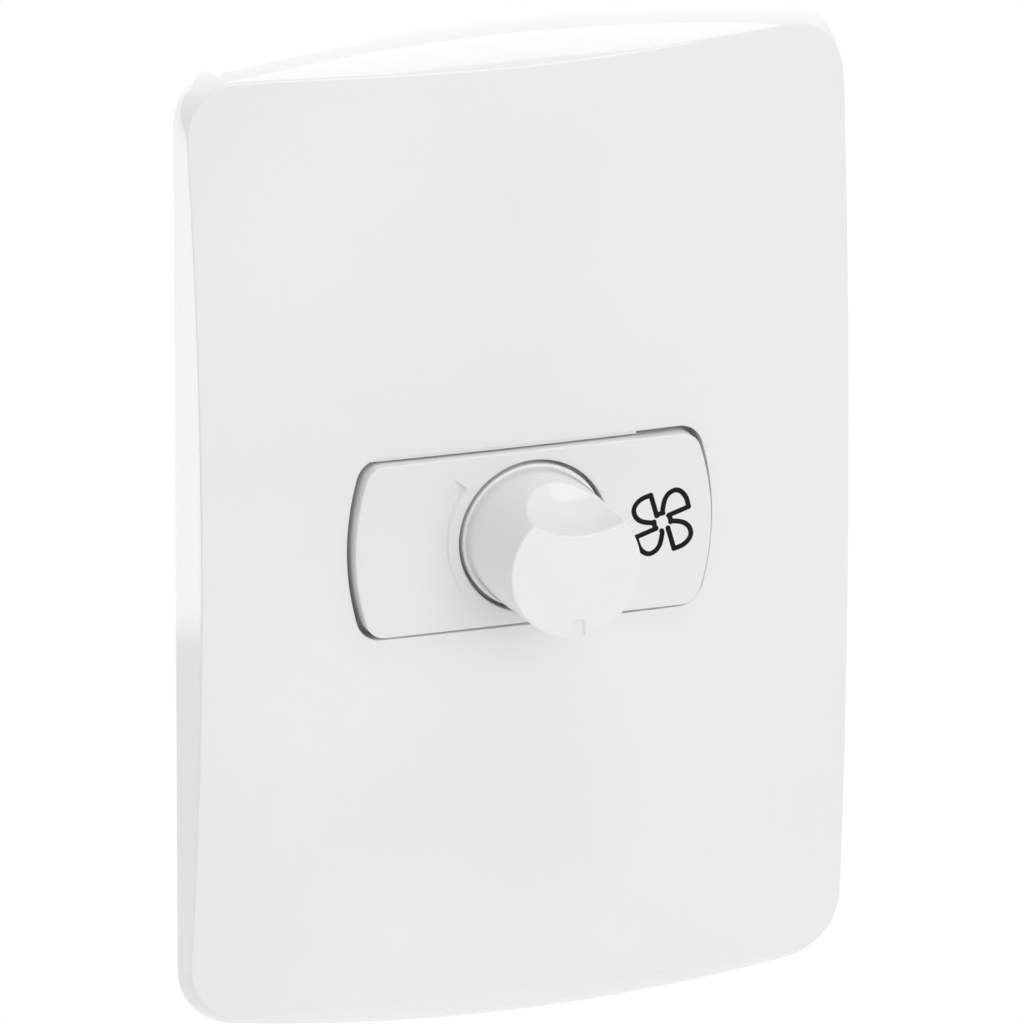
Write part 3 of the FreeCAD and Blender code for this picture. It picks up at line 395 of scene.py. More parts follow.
# %% Ribs
RIB_X, RIB_Z = 34.0, 28.0
RIB_UP_REACH, RIB_ACROSS_REACH = 50, 37
RIB_UP_POINTS, RIB_ACROSS_POINTS = 33, 25
RIB_WIDTH, RIB_DEPTH = 1.2, 1.0
SUNK = 0.5


def rib_loops(along, fixed, runs_up):
    """A rib under the dome: a narrow strip whose two long edges follow the inside of the dome."""
    x = np.full_like(along, fixed) if runs_up else along
    z = along if runs_up else np.full_like(along, fixed)
    top = dome(x, z) - PLATE_WALL
    side = RIB_WIDTH / 2
    loops = []
    for offset, sink in ((-side, SUNK), (side, SUNK), (side, -RIB_DEPTH), (-side, -RIB_DEPTH)):
        dx = offset if runs_up else 0.0
        dz = 0.0 if runs_up else offset
        loops.append(place(x + dx, top + sink, z + dz))
    return np.stack(loops, axis=1)


print("a rib's ends lie lower by", round(dome(RIB_X, 0) - dome(RIB_X, RIB_UP_REACH), 2), "mm")

# %% [markdown]
# A narrow ledge runs along most of the opening's upper wall and stops short of its right end. It
# makes the gap over the module look thinner there. A row of short blocks could make it too, but
# one bar that keeps a constant depth below the dome has no steps.

# %% The ledge in the opening
LIP_LEFT, LIP_RIGHT, LIP_WIDTH, LIP_DEPTH = -19.9, 12.9, 0.34, 0.2
LIP_BEVEL = 0.05
LIP_POINTS = 25


def upper_lip():
    """A bar along the opening's upper wall, its front a constant depth below the dome."""
    x = np.linspace(LIP_LEFT, LIP_RIGHT, LIP_POINTS)
    top = INSERT_ACROSS + OPENING_GAP + SUNK
    low = INSERT_ACROSS + OPENING_GAP - LIP_WIDTH
    front = dome(x, low) - LIP_DEPTH
    corners = ((front, top), (front, low + LIP_BEVEL), (front - LIP_BEVEL, low),
               (COLLAR_BACK, low), (COLLAR_BACK, top))
    return bar_shell(np.stack([place(x, h, z) for h, z in corners], axis=1))


print("ledge", round(LIP_RIGHT - LIP_LEFT, 1), "mm long and", LIP_WIDTH, "mm wide")

# %% [markdown]
# Four snap hooks catch in the support frame and hold the plate, and four short pads rest on it.
# Each is a section carried straight along X: a stem with a nose for a hook, and a plain strip for
# a pad.

# %% Hooks and pads
HOOK_X, HOOK_Z = 28.0, 36.0
HOOK_WIDTH, HOOK_THICKNESS, HOOK_CATCH = 6.0, 1.4, 0.8
FRAME_THICKNESS = 2.5
NOSE_GAP = 0.1
RUNNING_GAP = 0.3
PAD_Z = 26.0


def prism(outline, x0, x1):
    """A bar along X whose section is a list of (height, z) corners."""
    h, z = np.array(outline).T
    return bar_shell(np.stack([place(x0, h, z), place(x1, h, z)]))


def back_details():
    """The shells of the ribs, hooks and pads."""
    shells = []
    rib_up = np.linspace(-RIB_UP_REACH, RIB_UP_REACH, RIB_UP_POINTS)
    rib_across = np.linspace(-RIB_ACROSS_REACH, RIB_ACROSS_REACH, RIB_ACROSS_POINTS)
    for side in (-1, 1):
        shells.append(bar_shell(rib_loops(rib_up, side * RIB_X, True)))
        shells.append(bar_shell(rib_loops(rib_across, side * RIB_Z, False)))
        for x in (-HOOK_X, HOOK_X):
            inner = side * (HOOK_Z - HOOK_THICKNESS / 2)
            outer = side * (HOOK_Z + HOOK_THICKNESS / 2)
            nose_top = FRAME_THICKNESS / 2 - NOSE_GAP
            root = float(dome(x, side * HOOK_Z)) - PLATE_WALL + SUNK
            section = [(root, inner), (RUNNING_GAP, inner), (RUNNING_GAP, outer),
                       (nose_top, outer + side * HOOK_CATCH), (nose_top, outer), (root, outer)]
            shells.append(prism(section, x - HOOK_WIDTH / 2, x + HOOK_WIDTH / 2))
            low, high = side * PAD_Z - RIB_WIDTH / 2, side * PAD_Z + RIB_WIDTH / 2
            root = float(dome(x, side * PAD_Z)) - PLATE_WALL + SUNK
            section = [(root, low), (FRAME_THICKNESS, low), (FRAME_THICKNESS, high), (root, high)]
            shells.append(prism(section, x - HOOK_WIDTH / 2, x + HOOK_WIDTH / 2))
    return shells


behind_face = back_details()
print("ribs, hooks and pads", len(behind_face))

# %% [markdown]
# All of these surfaces make one piece, as they come out of the mould as one. It takes the place of
# the solid plate, which is then hidden.

# %% The cover plate
plate_shells = [plate_wall, upper_lip()] + behind_face
cover_plate = make_piece("cover_plate_moulding", plate_shells, "root", sharp=32)
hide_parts("cover_plate")

# %% [markdown]
# The module front is a second moulding: a plain slab with rounded edges, a round well for the
# knob, and a wedge-shaped mark pressed beside it that grows with the fan's speed. The mark has a
# steep wall on the knob's side, and its floor slopes up from there to the face. Booleans could cut
# the well and the mark from a slab. Here the columns run out from the knob's axis, so that the
# well, the mark and the outline are all lines of one grid.

# %% Sizes of the module front
# heights of its front and back, the rounding of its edge, and its wall
INSERT_FRONT = 9.1
INSERT_BACK = 3.9
INSERT_EDGE_ROUND = 0.17
INSERT_WALL = 1.6
# the knob's well: its radius, the roundings of its edge and floor, its floor, and the wall behind
WELL_RADIUS = 9.07
WELL_ROUND = 0.22
WELL_FLOOR_ROUND = 0.15
WELL_FLOOR = 6.5
WELL_BACK = 5.0
WELL_OUTER = 10.25
BUSHING_HOLE = 3.55
# the mark: radii at its thick end, angles of its ends in degrees, its depth, and its steep wall
MARK_RADIUS, MARK_OUTER = 10.35, 12.6
MARK_THICK_END, MARK_THIN_END = 141.0, 222.0
MARK_DEPTH = 0.6
MARK_WALL = 0.38
MARK_NARROWEST = 0.05
MARK_THINNEST = 0.001
PAST_MARK = 1.05
print("module front", 2 * INSERT_ALONG, "x", 2 * INSERT_ACROSS, "mm, well", 2 * WELL_RADIUS)

# %% [markdown]
# The outline's distance from the knob's axis is read off a finely walked quarter. A double column
# on either side of the mark's thick end makes that end square, since the pressed depth starts
# between the two.

# %% Columns of the module front
OUTLINE_SAMPLES = 6001
SMALLEST_CORNER = 0.3
CORNER_POINTS = 16
COLUMN_STEP = 1.5
END_NEAR, END_CLOSE = 0.004, 0.001


def outline_radius(angle, margin):
    """Distance from the knob's axis to the module's outline, grown by a margin, at each angle."""
    z, x = quarter_outline(np.linspace(3, 0, OUTLINE_SAMPLES), INSERT_ACROSS + margin,
                           INSERT_ALONG + margin, INSERT_BOW,
                           max(INSERT_CORNER + margin, SMALLEST_CORNER))
    folded = np.arctan2(np.abs(np.sin(angle)), np.abs(np.cos(angle)))
    return np.interp(folded, np.arctan2(z, x), np.hypot(x, z))


def insert_angles():
    """Angles of the columns: even all round, closer at the corners, double at the mark's end."""
    z, x = quarter_outline(np.linspace(1, 2, CORNER_POINTS), INSERT_ACROSS, INSERT_ALONG,
                           INSERT_BOW, INSERT_CORNER)
    corner = np.arctan2(z, x)
    even = np.radians(np.arange(0, 360, COLUMN_STEP))
    thick = math.radians(MARK_THICK_END)
    extra = np.concatenate([corner, np.pi - corner, np.pi + corner, 2 * np.pi - corner])
    angles = np.unique(np.round(np.concatenate([even, extra]), 5))
    angles = angles[np.abs(angles - thick) > END_NEAR]
    inside = (angles > thick) & (angles < math.radians(MARK_THIN_END))
    where = np.searchsorted(angles, thick)
    angles = np.insert(angles, where, [thick - END_NEAR, thick - END_CLOSE,
                                       thick + END_CLOSE, thick + END_NEAR])
    inside = np.insert(inside, where, [False, False, True, True])
    return angles, inside


front_angles, in_mark = insert_angles()
print("module front columns", len(front_angles), "of them in the mark", int(in_mark.sum()))

# %% [markdown]
# The module front and the knob are both walked outwards from the knob's axis, so each row is a
# radius and a height. Either is one number, or a value for every column where the row isn't a
# circle. One function makes grids of such rows, and every quarter-round edge takes the same steps.

# %% Rows round the axis
ROUND_STEPS = 6
ROUND_TURNS = np.linspace(0, 1, ROUND_STEPS) * np.pi / 2


def as_grids(rows, columns):
    """Rows of radius and height, each a number or a value for every column, as two grids."""
    return [np.stack([np.broadcast_to(row[i], columns) for row in rows]) for i in (0, 1)]


print("steps round an edge, in degrees", np.degrees(ROUND_TURNS).round(1))

# %% [markdown]
# The rows go from the hole for the bush over the well's floor, up its wall, across the face with
# the mark pressed into it, round the edge and back behind. Outside the mark its rows lie flat in
# the face. Behind, the wall is thin except round the well, with a short slope between the two.

# %% Rows of the module front
CAVITY_SLOPE = 0.6
WELL_RINGS = (5.0, 7.0, WELL_RADIUS - WELL_FLOOR_ROUND)
# shares of the way down the mark's wall and back up its floor, and rows from there to the edge
MARK_WALL_ROWS = (0.0, 0.03, 0.5, 0.97)
MARK_FLOOR_ROWS = (0.33, 0.66, 0.97)
PAST_MARK_ROWS = 7


def insert_rows(angle, marked):
    """Rows of the module front, from the bushing's hole out over the face and back behind it."""
    outline = outline_radius(angle, 0.0)
    flat_end = outline_radius(angle, -INSERT_EDGE_ROUND)
    inner = outline_radius(angle, -INSERT_WALL)
    share = (np.degrees(angle) - MARK_THICK_END) / (MARK_THIN_END - MARK_THICK_END)
    share = np.clip(share, 0, 1)
    depth = MARK_DEPTH * (1 - share) * marked
    well_edge = WELL_RADIUS + WELL_ROUND
    start = np.minimum(MARK_RADIUS, (well_edge + flat_end) / 2)
    width = np.where(marked, (MARK_OUTER - MARK_RADIUS) * (1 - share), 0.0)
    narrowest = np.minimum(MARK_NARROWEST, (flat_end - start) / 4)
    width = np.maximum(width, MARK_WALL * depth / MARK_DEPTH + narrowest)
    rows = [(BUSHING_HOLE, WELL_BACK), (BUSHING_HOLE, WELL_FLOOR)]
    rows += [(radius, WELL_FLOOR) for radius in WELL_RINGS]
    rows.append((WELL_RADIUS, WELL_FLOOR + WELL_FLOOR_ROUND))
    rows += [(WELL_RADIUS + WELL_ROUND * (1 - np.cos(turn)),
              INSERT_FRONT - WELL_ROUND * (1 - np.sin(turn))) for turn in ROUND_TURNS]
    wall = MARK_WALL * depth / MARK_DEPTH + MARK_THINNEST
    rows += [((well_edge + start) / 2, INSERT_FRONT), (start - MARK_NARROWEST, INSERT_FRONT)]
    rows += [(start + wall * t, INSERT_FRONT - depth * t) for t in MARK_WALL_ROWS]
    rows += [(start + wall + (width - wall) * t, INSERT_FRONT - depth * (1 - t))
             for t in MARK_FLOOR_ROWS]
    last = start + width * PAST_MARK
    rows += [(last + (flat_end - last) * t, INSERT_FRONT)
             for t in np.linspace(0, 1, PAST_MARK_ROWS)]
    rows += [(flat_end + (outline - flat_end) * np.sin(turn),
              INSERT_FRONT - INSERT_EDGE_ROUND * (1 - np.cos(turn))) for turn in ROUND_TURNS[1:]]
    rows += [(outline, INSERT_BACK), (inner, INSERT_BACK)]
    cavity = np.clip((inner - WELL_OUTER) / CAVITY_SLOPE, 0, 1)
    ceiling = WELL_BACK + (INSERT_FRONT - INSERT_WALL - WELL_BACK) * cavity
    near = np.minimum(inner, WELL_OUTER)
    rows += [(inner, ceiling), (near, ceiling), (near, WELL_BACK)]
    radius, height = as_grids(rows, len(angle))
    return place(radius * np.cos(angle), height, radius * np.sin(angle))


front_points = insert_rows(front_angles, in_mark)
print("module front rows and columns", front_points.shape[:2])

# %% [markdown]
# Four snap legs hold the module in the frame. Each is a stem behind the face with a nose that
# hooks behind the frame's window, made like the plate's hooks: one section, carried straight along
# X.

# %% Legs, and the module front
LEG_X, LEG_WIDTH, LEG_THICKNESS, LEG_TOP = 15.0, 5.0, 1.1, 8.35
LEG_BACK, LEG_CATCH, LEG_NOSE = 1.0, 0.9, 1.5


def insert_legs():
    """Four snap legs behind the face: a stem, and a nose that hooks behind the frame's window."""
    shells = []
    for side_x in (-1, 1):
        for side_z in (-1, 1):
            top, low = side_z * LEG_TOP, side_z * (LEG_TOP - LEG_THICKNESS)
            section = [(INSERT_FRONT - INSERT_WALL + SUNK, low), (LEG_BACK, low), (LEG_BACK, top),
                       (LEG_BACK + LEG_NOSE, top + side_z * LEG_CATCH), (LEG_BACK + LEG_NOSE, top),
                       (INSERT_FRONT - INSERT_WALL + SUNK, top)]
            middle = side_x * LEG_X
            shells.append(prism(section, middle - LEG_WIDTH / 2, middle + LEG_WIDTH / 2))
    return shells


front_shells = [grid_shell(front_points, close_rows=True)] + insert_legs()
front_insert = make_piece("module_front_moulding", front_shells, "root", sharp=32)
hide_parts("front_insert")

# %% [markdown]
# The knob is a round, slightly tapered moulding with a ball-shaped scoop for the fingertip, a
# pointer pressed into its face, and a hollow back with a hub for the shaft. A ball could be cut
# from a cone with a boolean, but then the rounding of the scoop's edge would need a bevel that
# often fails. So the knob is a grid too: one column for each angle round the axis, and a profile
# along each column.

# %% Sizes of the knob
# the skirt in the well, the foot and the face of the drafted side
KNOB_BACK = 7.0
SKIRT_RADIUS = 8.62
SKIRT_FRONT = 9.0
SKIRT_ROUND = 0.25
FOOT_RADIUS, FOOT_HEIGHT = 8.3, 9.35
FACE_RADIUS, KNOB_FRONT = 7.86, 23.0
# the scoop's ball, how far its centre lies above the axis, and the angle that it is turned by
SCOOP_RADIUS, SCOOP_ABOVE = 10.7, 14.9
SCOOP_TURN = 3.5
KNOB_ROUND = 0.26
# the pointer: its size, its corners, half its wall's width, and how far it lies off the middle
POINTER_WIDTH, POINTER_LENGTH, POINTER_DEPTH = 1.2, 2.0, 0.28
POINTER_CORNER, POINTER_WALL = 0.3, 0.11
POINTER_X = 0.33
# the hollow back: the hub, its bore with a flat, the hollow round it, and a deeper pocket below
HUB_RADIUS, HUB_BACK = 4.4, 10.75
BORE_RADIUS, BORE_FLAT, BORE_END = 3.03, 1.53, 20.2
CAVITY_RADIUS, CAVITY_END = 6.66, 13.38
POCKET_START, POCKET_END = 5.4, 21.0
print("knob", 2 * FACE_RADIUS, "mm across its face, which is", KNOB_FRONT, "mm off the wall")

# %% [markdown]
# The columns stand closer where something narrow or steep has to show: at the two corners where
# the scoop meets the side and the face, at the pointer's two walls, and at the ends of the pocket
# behind.

# %% Columns of the knob
# degrees clockwise from 12 o'clock: first, last and step
SCOOP_CORNER = (38, 49, 0.4)
POINTER_RIGHT = (170.8, 174.4, 0.12)
POINTER_MIDDLE = (174.5, 180.6, 0.5)
POINTER_LEFT = (180.6, 184.6, 0.12)
POCKET_SIDE = (144.0, 144.6, 145.2, 145.8)


def knob_angles():
    """Angles of the columns from 12 o'clock: even all round, and the closer ones."""
    even = np.arange(0, 360, COLUMN_STEP)
    scoop_corner = np.arange(*SCOOP_CORNER)
    pointer = [np.arange(*part) for part in (POINTER_RIGHT, POINTER_MIDDLE, POINTER_LEFT)]
    pocket = np.array(POCKET_SIDE)
    every = np.concatenate([even, scoop_corner + SCOOP_TURN, 360 - scoop_corner + SCOOP_TURN,
                            *pointer, pocket, 360 - pocket])
    return np.radians(np.unique(np.round(every, 3)))


print("knob columns", len(knob_angles()))

# %% [markdown]
# A profile is drawn for each column: up the drafted side, along the scoop's ball where it cuts the
# knob, and in over the face to the axis. It has the same number of points for every column, and
# each point's length along the profile is kept with it.

# %% The knob's outside, with sharp edges
ARC_POINTS = 40
SETTLING_STEPS = 8


def outer_profile(delta):
    """Corners of the outside for every angle from the scoop's middle, a row of points each.

    Where the ball of the scoop reaches the knob, an arc of it runs from the drafted side to the
    face. Elsewhere the arc's points all lie on the face's rim.
    """
    slope = (FOOT_RADIUS - FACE_RADIUS) / (KNOB_FRONT - FOOT_HEIGHT)
    across = SCOOP_ABOVE * np.sin(delta)
    ahead = SCOOP_ABOVE * np.cos(delta)
    reach = np.sqrt(np.maximum(SCOOP_RADIUS ** 2 - across ** 2, 0))
    cut = (ahead > 0) & (reach > 0) & (ahead - reach < FACE_RADIUS)
    sunk = np.zeros_like(delta)
    for _ in range(SETTLING_STEPS):
        sunk = np.sqrt(np.maximum(reach ** 2 - (ahead - FACE_RADIUS - slope * sunk) ** 2, 0))
    first = np.arctan2(sunk, ahead - FACE_RADIUS - slope * sunk)
    turn = first[:, None] * np.linspace(1, 0, ARC_POINTS)
    arc_radius = np.where(cut[:, None], ahead[:, None] - reach[:, None] * np.cos(turn),
                          FACE_RADIUS)
    arc_height = KNOB_FRONT - np.where(cut[:, None], reach[:, None] * np.sin(turn), 0)
    one = np.ones((len(delta), 1))
    radius = np.concatenate([FOOT_RADIUS * one, arc_radius, 0 * one], axis=1)
    height = np.concatenate([FOOT_HEIGHT * one, arc_height, KNOB_FRONT * one], axis=1)
    steps = np.hypot(np.diff(radius), np.diff(height))
    length = np.concatenate([0 * one, np.cumsum(steps, axis=1)], axis=1)
    return radius, height, length


print("the scoop starts", round(outer_profile(np.zeros(1))[1][0, 1], 2), "mm off the wall")

# %% [markdown]
# A mould rounds every edge a little. Here each point becomes the mean of the profile over a short
# stretch of its own length. That leaves straight parts straight and rounds every edge alike, also
# where the scoop's edge runs out on the side. Points stand closer where an edge is.

# %% The knob's outside, rounded
WINDOW_POINTS = 11
# where the rows start above the foot, how far closer rows reach from an edge, and where they end
FOOT_SKIPPED = 0.4
EDGE_REACH = 0.5
INNER_SHARE = 0.4
# rows along the side, its edge, the scoop, the scoop's end, and the face's outer and inner part
STRETCH_ROWS = (24, 13, 34, 13, 26, 8)
SHORTEST = 1e-9


def along_rows(where, length, values):
    """Values read off at lengths along each row of points, straight between neighbours."""
    after = np.sum(length[:, None, :] <= where[:, :, None], axis=2)
    after = np.clip(after, 1, length.shape[1] - 1)
    start, end = (np.take_along_axis(length, i, axis=1) for i in (after - 1, after))
    first, last = (np.take_along_axis(values, i, axis=1) for i in (after - 1, after))
    share = np.clip((where - start) / np.maximum(end - start, SHORTEST), 0, 1)
    return first + (last - first) * share


def smooth_profile(delta):
    """Points along the rounded outside, as many at every angle: means over a window."""
    radius, height, length = outer_profile(delta)
    rim, scoop_end, total = (length[:, [i]] for i in (1, -2, -1))
    near = np.minimum(EDGE_REACH, (scoop_end - rim) / 2)
    inner = scoop_end + (total - scoop_end) * INNER_SHARE
    ends = (FOOT_SKIPPED, rim - EDGE_REACH, rim + near, scoop_end - near, scoop_end + EDGE_REACH,
            inner, total)
    where = [start + (end - start) * np.linspace(0, 1, steps)[1:]
             for start, end, steps in zip(ends, ends[1:], STRETCH_ROWS)]
    where = np.concatenate(where, axis=1)[:, :-1]
    window = np.linspace(-1, 1, WINDOW_POINTS) * KNOB_ROUND
    sample = np.clip(where[:, :, None] + window, 0, total[:, :, None]).reshape(len(delta), -1)
    shape = (len(delta), -1, len(window))
    return (along_rows(sample, length, radius).reshape(shape).mean(axis=2).T,
            along_rows(sample, length, height).reshape(shape).mean(axis=2).T)


print("rows of the knob's outside", len(smooth_profile(np.zeros(1))[0]))

# %% [markdown]
# The pointer is a shallow slot in the face with a square end and small round corners. It is
# pressed into the finished rows: a point goes down where it lies inside the slot's outline, and
# half way down on the outline itself, so the slot's walls are as steep as the columns there are
# close.

# %% The pointer
def pressed_pointer(x, height, z):
    """Lowers what stands above the slot's floor: fully inside the outline, half way down on it."""
    corner = POINTER_CORNER
    past_side = np.abs(x - POINTER_X) - (POINTER_WIDTH / 2 - corner)
    past_end = z + FACE_RADIUS - POINTER_LENGTH + corner
    outside = np.hypot(np.maximum(past_side, 0), np.maximum(past_end, 0)) - corner
    inside = np.clip((POINTER_WALL - outside) / (2 * POINTER_WALL), 0, 1) * (z < 0)
    above = np.maximum(height - (KNOB_FRONT - POINTER_DEPTH), 0)
    return height - above * inside


pointer_z = POINTER_LENGTH / 2 - FACE_RADIUS
print("the pointer's floor is at", pressed_pointer(POINTER_X, KNOB_FRONT, pointer_z))

# %% [markdown]
# All rows together: from the end of the bore round the hollow back, over the skirt, and up the
# outside to the middle of the face. The bore has a flat, like the shaft that it fits, and the
# hollow has a deeper pocket below the hub. The knob rides on the turning body.

# %% The knob
# the crease between skirt and side, as distances out from the foot and up from the skirt's front
CREASE = ((0.03, 0.01), (0.0, 0.1))
SMALLEST_COSINE = 0.3
POCKET_SHALLOWEST = 0.01


def knob_rows():
    """Rows of the knob from the end of its bore, round the hollow back and over the outside."""
    delta = knob_angles()
    up = np.cos(delta)
    down = -up
    flat = np.where(up > SMALLEST_COSINE, BORE_FLAT / np.maximum(up, SMALLEST_COSINE), BORE_RADIUS)
    bore = np.minimum(BORE_RADIUS, flat)
    pocket = POCKET_START / np.maximum(down, SMALLEST_COSINE)
    pocket = np.clip(pocket, HUB_RADIUS, CAVITY_RADIUS)
    deep = np.where(pocket < CAVITY_RADIUS - POCKET_SHALLOWEST, POCKET_END, CAVITY_END)
    rows = [(0.0, BORE_END), (bore, BORE_END), (bore, HUB_BACK), (HUB_RADIUS, HUB_BACK),
            (HUB_RADIUS, CAVITY_END), (pocket, CAVITY_END), (pocket, deep), (CAVITY_RADIUS, deep),
            (CAVITY_RADIUS, KNOB_BACK), (SKIRT_RADIUS, KNOB_BACK)]
    rows += [(SKIRT_RADIUS - SKIRT_ROUND * (1 - np.cos(turn)),
              SKIRT_FRONT - SKIRT_ROUND * (1 - np.sin(turn))) for turn in ROUND_TURNS]
    rows += [(FOOT_RADIUS + out, SKIRT_FRONT + ahead) for out, ahead in CREASE]
    from_scoop = (delta - math.radians(SCOOP_TURN) + np.pi) % (2 * np.pi) - np.pi
    rows += zip(*smooth_profile(np.abs(from_scoop)))
    rows.append((0.0, KNOB_FRONT))
    radius, height = as_grids(rows, len(delta))
    x = radius * np.sin(delta)
    z = radius * np.cos(delta)
    return x, pressed_pointer(x, height, z), z


knob_wall = grid_shell(place(*knob_rows()))
knob = make_piece("knob_moulding", [knob_wall], "knob", sharp=50)
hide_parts("knob")

# %% [markdown]
# A small fan sign is printed in black beside the knob: four blades round a hub, drawn with a line
# of even width. A picture could show it, but ink has an edge and a thickness of its own. So the
# line is a few points joined by a smooth curve. Each blade is the first one turned by a quarter,
# and the whole is narrowed a little from side to side.

# %% Lines of the fan sign
SIGN_X = 15.6
SIGN_NARROWED = 0.955
# one blade from the hub out and round to its corner, and the end of its straight edge at the hub
BLADE = [(0.095, 1.05), (0.03, 1.4), (0.28, 2.55), (0.73, 3.24), (1.25, 3.56), (1.845, 3.64),
         (2.50, 3.31), (3.04, 2.57), (3.36, 1.485)]
BLADE_END = (0.785, 0.71)


def smooth_line(points, steps=8):
    """A smooth curve through the points: each stretch is a cubic led by the neighbours on it."""
    p = np.array(points)
    p = np.concatenate([[2 * p[0] - p[1]], p, [2 * p[-1] - p[-2]]])
    t = (np.arange(steps) / steps)[:, None]
    parts = []
    for a, b, c, d in zip(p[:-3], p[1:-2], p[2:-1], p[3:]):
        parts.append(0.5 * (2 * b + (c - a) * t + (2 * a - 5 * b + 4 * c - d) * t ** 2
                            + (3 * b - a - 3 * c + d) * t ** 3))
    return np.concatenate(parts + [p[-2:-1]])


def quarter_turns(line, count):
    """The line turned clockwise by a number of quarters."""
    line = np.array(line, float)
    for _ in range(count):
        line = np.stack([line[:, 1], -line[:, 0]], axis=1)
    return line


def round_hub(start, end, steps=7):
    """A line round the sign's centre: its angle and its radius change evenly along it."""
    radius = np.linspace(math.hypot(*start), math.hypot(*end), steps)
    angle = np.linspace(math.atan2(start[1], start[0]), math.atan2(end[1], end[0]), steps)
    return np.stack([radius * np.cos(angle), radius * np.sin(angle)], axis=1)


print("points on a blade's line", len(smooth_line(BLADE)))

# %% [markdown]
# The ink is a low bead laid along each line, its section half an ellipse, sunk a little into the
# plastic. A round drop closes each end and each corner. The hub's lines join neighbouring blades,
# and one of the four is missing, as on the real sign.

# %% The ink
STROKE = 0.60
INK_RISE = 0.03
BEAD_POINTS = 7
DROP_POINTS = 20
DROP_RINGS = ((1.0, -1.0), (1.0, 0.0), (0.86, 0.5), (0.5, 0.86))
OPEN_QUARTER = 1


def bead(line):
    """A low bead of ink along a line: a half ellipse across it, closed at both ends."""
    along = np.gradient(line, axis=0)
    along /= np.linalg.norm(along, axis=1, keepdims=True)
    across = np.stack([-along[:, 1], along[:, 0]], axis=1)
    turn = np.linspace(0, np.pi, BEAD_POINTS)
    side = np.concatenate([np.cos(turn), [-1.0, 1.0]]) * STROKE / 2
    rise = np.concatenate([np.sin(turn) * INK_RISE, [-INK_RISE, -INK_RISE]])
    x = line[:, :1] * SIGN_NARROWED + across[:, :1] * side
    z = line[:, 1:] + across[:, 1:] * side
    return bar_shell(place(x + SIGN_X, INSERT_FRONT + rise + 0 * x, z))


def drop(centre):
    """A round drop of ink as wide as the line: rings that draw in as they rise."""
    turn = np.linspace(0, 2 * np.pi, DROP_POINTS, endpoint=False)
    rings = []
    for radius, rise in DROP_RINGS:
        x = centre[0] * SIGN_NARROWED + radius * STROKE / 2 * np.cos(turn)
        z = centre[1] + radius * STROKE / 2 * np.sin(turn)
        rings.append(place(x + SIGN_X, INSERT_FRONT + rise * INK_RISE + 0 * x, z))
    return bar_shell(np.stack(rings))


hub_line = round_hub(BLADE_END, quarter_turns(BLADE[:1], 1)[0])
sign_shells = []
for quarter in range(4):
    curve = quarter_turns(smooth_line(BLADE), quarter)
    straight = quarter_turns([BLADE[-1], BLADE_END], quarter)
    sign_shells += [bead(curve), bead(straight)]
    sign_shells += [drop(curve[0]), drop(curve[-1]), drop(straight[-1])]
    if quarter != OPEN_QUARTER:
        sign_shells.append(bead(quarter_turns(hub_line, quarter)))
fan_sign = make_piece("fan_sign_ink", sign_shells, "root", sharp=60)

# %% [markdown]
# Every finish is made of shader nodes, since no picture may be read. Colours are written as they
# are seen, in hex, and one function makes them linear. Another adds a node with its settings and
# links.

# %% Colours and nodes
def linear(colour):
    """A hex colour as the linear values that the shader works with, by the sRGB curve."""
    values = [int(colour[i:i + 2], 16) / 255 for i in (1, 3, 5)]
    return [v / 12.92 if v <= 0.04045 else ((v + 0.055) / 1.055) ** 2.4 for v in values] + [1.0]


def add(tree, kind, inputs=None, **settings):
    """Adds a shader node, sets its settings, and sets or links each named input."""
    node = tree.nodes.new(kind)
    for key, value in settings.items():
        setattr(node, key, value)
    for key, value in (inputs or {}).items():
        if isinstance(value, bpy.types.NodeSocket):
            tree.links.new(value, node.inputs[key])
        else:
            node.inputs[key].default_value = value
    return node


print("middle grey, linear", [round(v, 3) for v in linear("#808080")])

# %% [markdown]
# A moulded, rolled or plated surface is never quite even. Each finish has a slow change of tone, a
# finer change of gloss, and a relief as high as the process leaves it. All three are noise on
# Object coordinates, with sizes in real millimetres, so the pattern is fixed to the piece.

# %% One finish
NOISE_LOW, NOISE_HIGH = 0.3, 0.7
TONE_DETAIL = 2.0


def unevenness(tree, size, stretch, detail, low, high):
    """Noise with lumps of about size millimetres, as it is and spread to the range low to high."""
    where = add(tree, "ShaderNodeTexCoord").outputs["Object"]
    mapped = add(tree, "ShaderNodeMapping", {"Vector": where, "Scale": stretch}).outputs["Vector"]
    noise = add(tree, "ShaderNodeTexNoise", {"Vector": mapped, "Scale": 1 / (size * MM),
                                             "Detail": detail}).outputs["Fac"]
    spread = add(tree, "ShaderNodeMapRange", {"Value": noise, "From Min": NOISE_LOW,
                                              "From Max": NOISE_HIGH, "To Min": low,
                                              "To Max": high}).outputs["Result"]
    return noise, spread


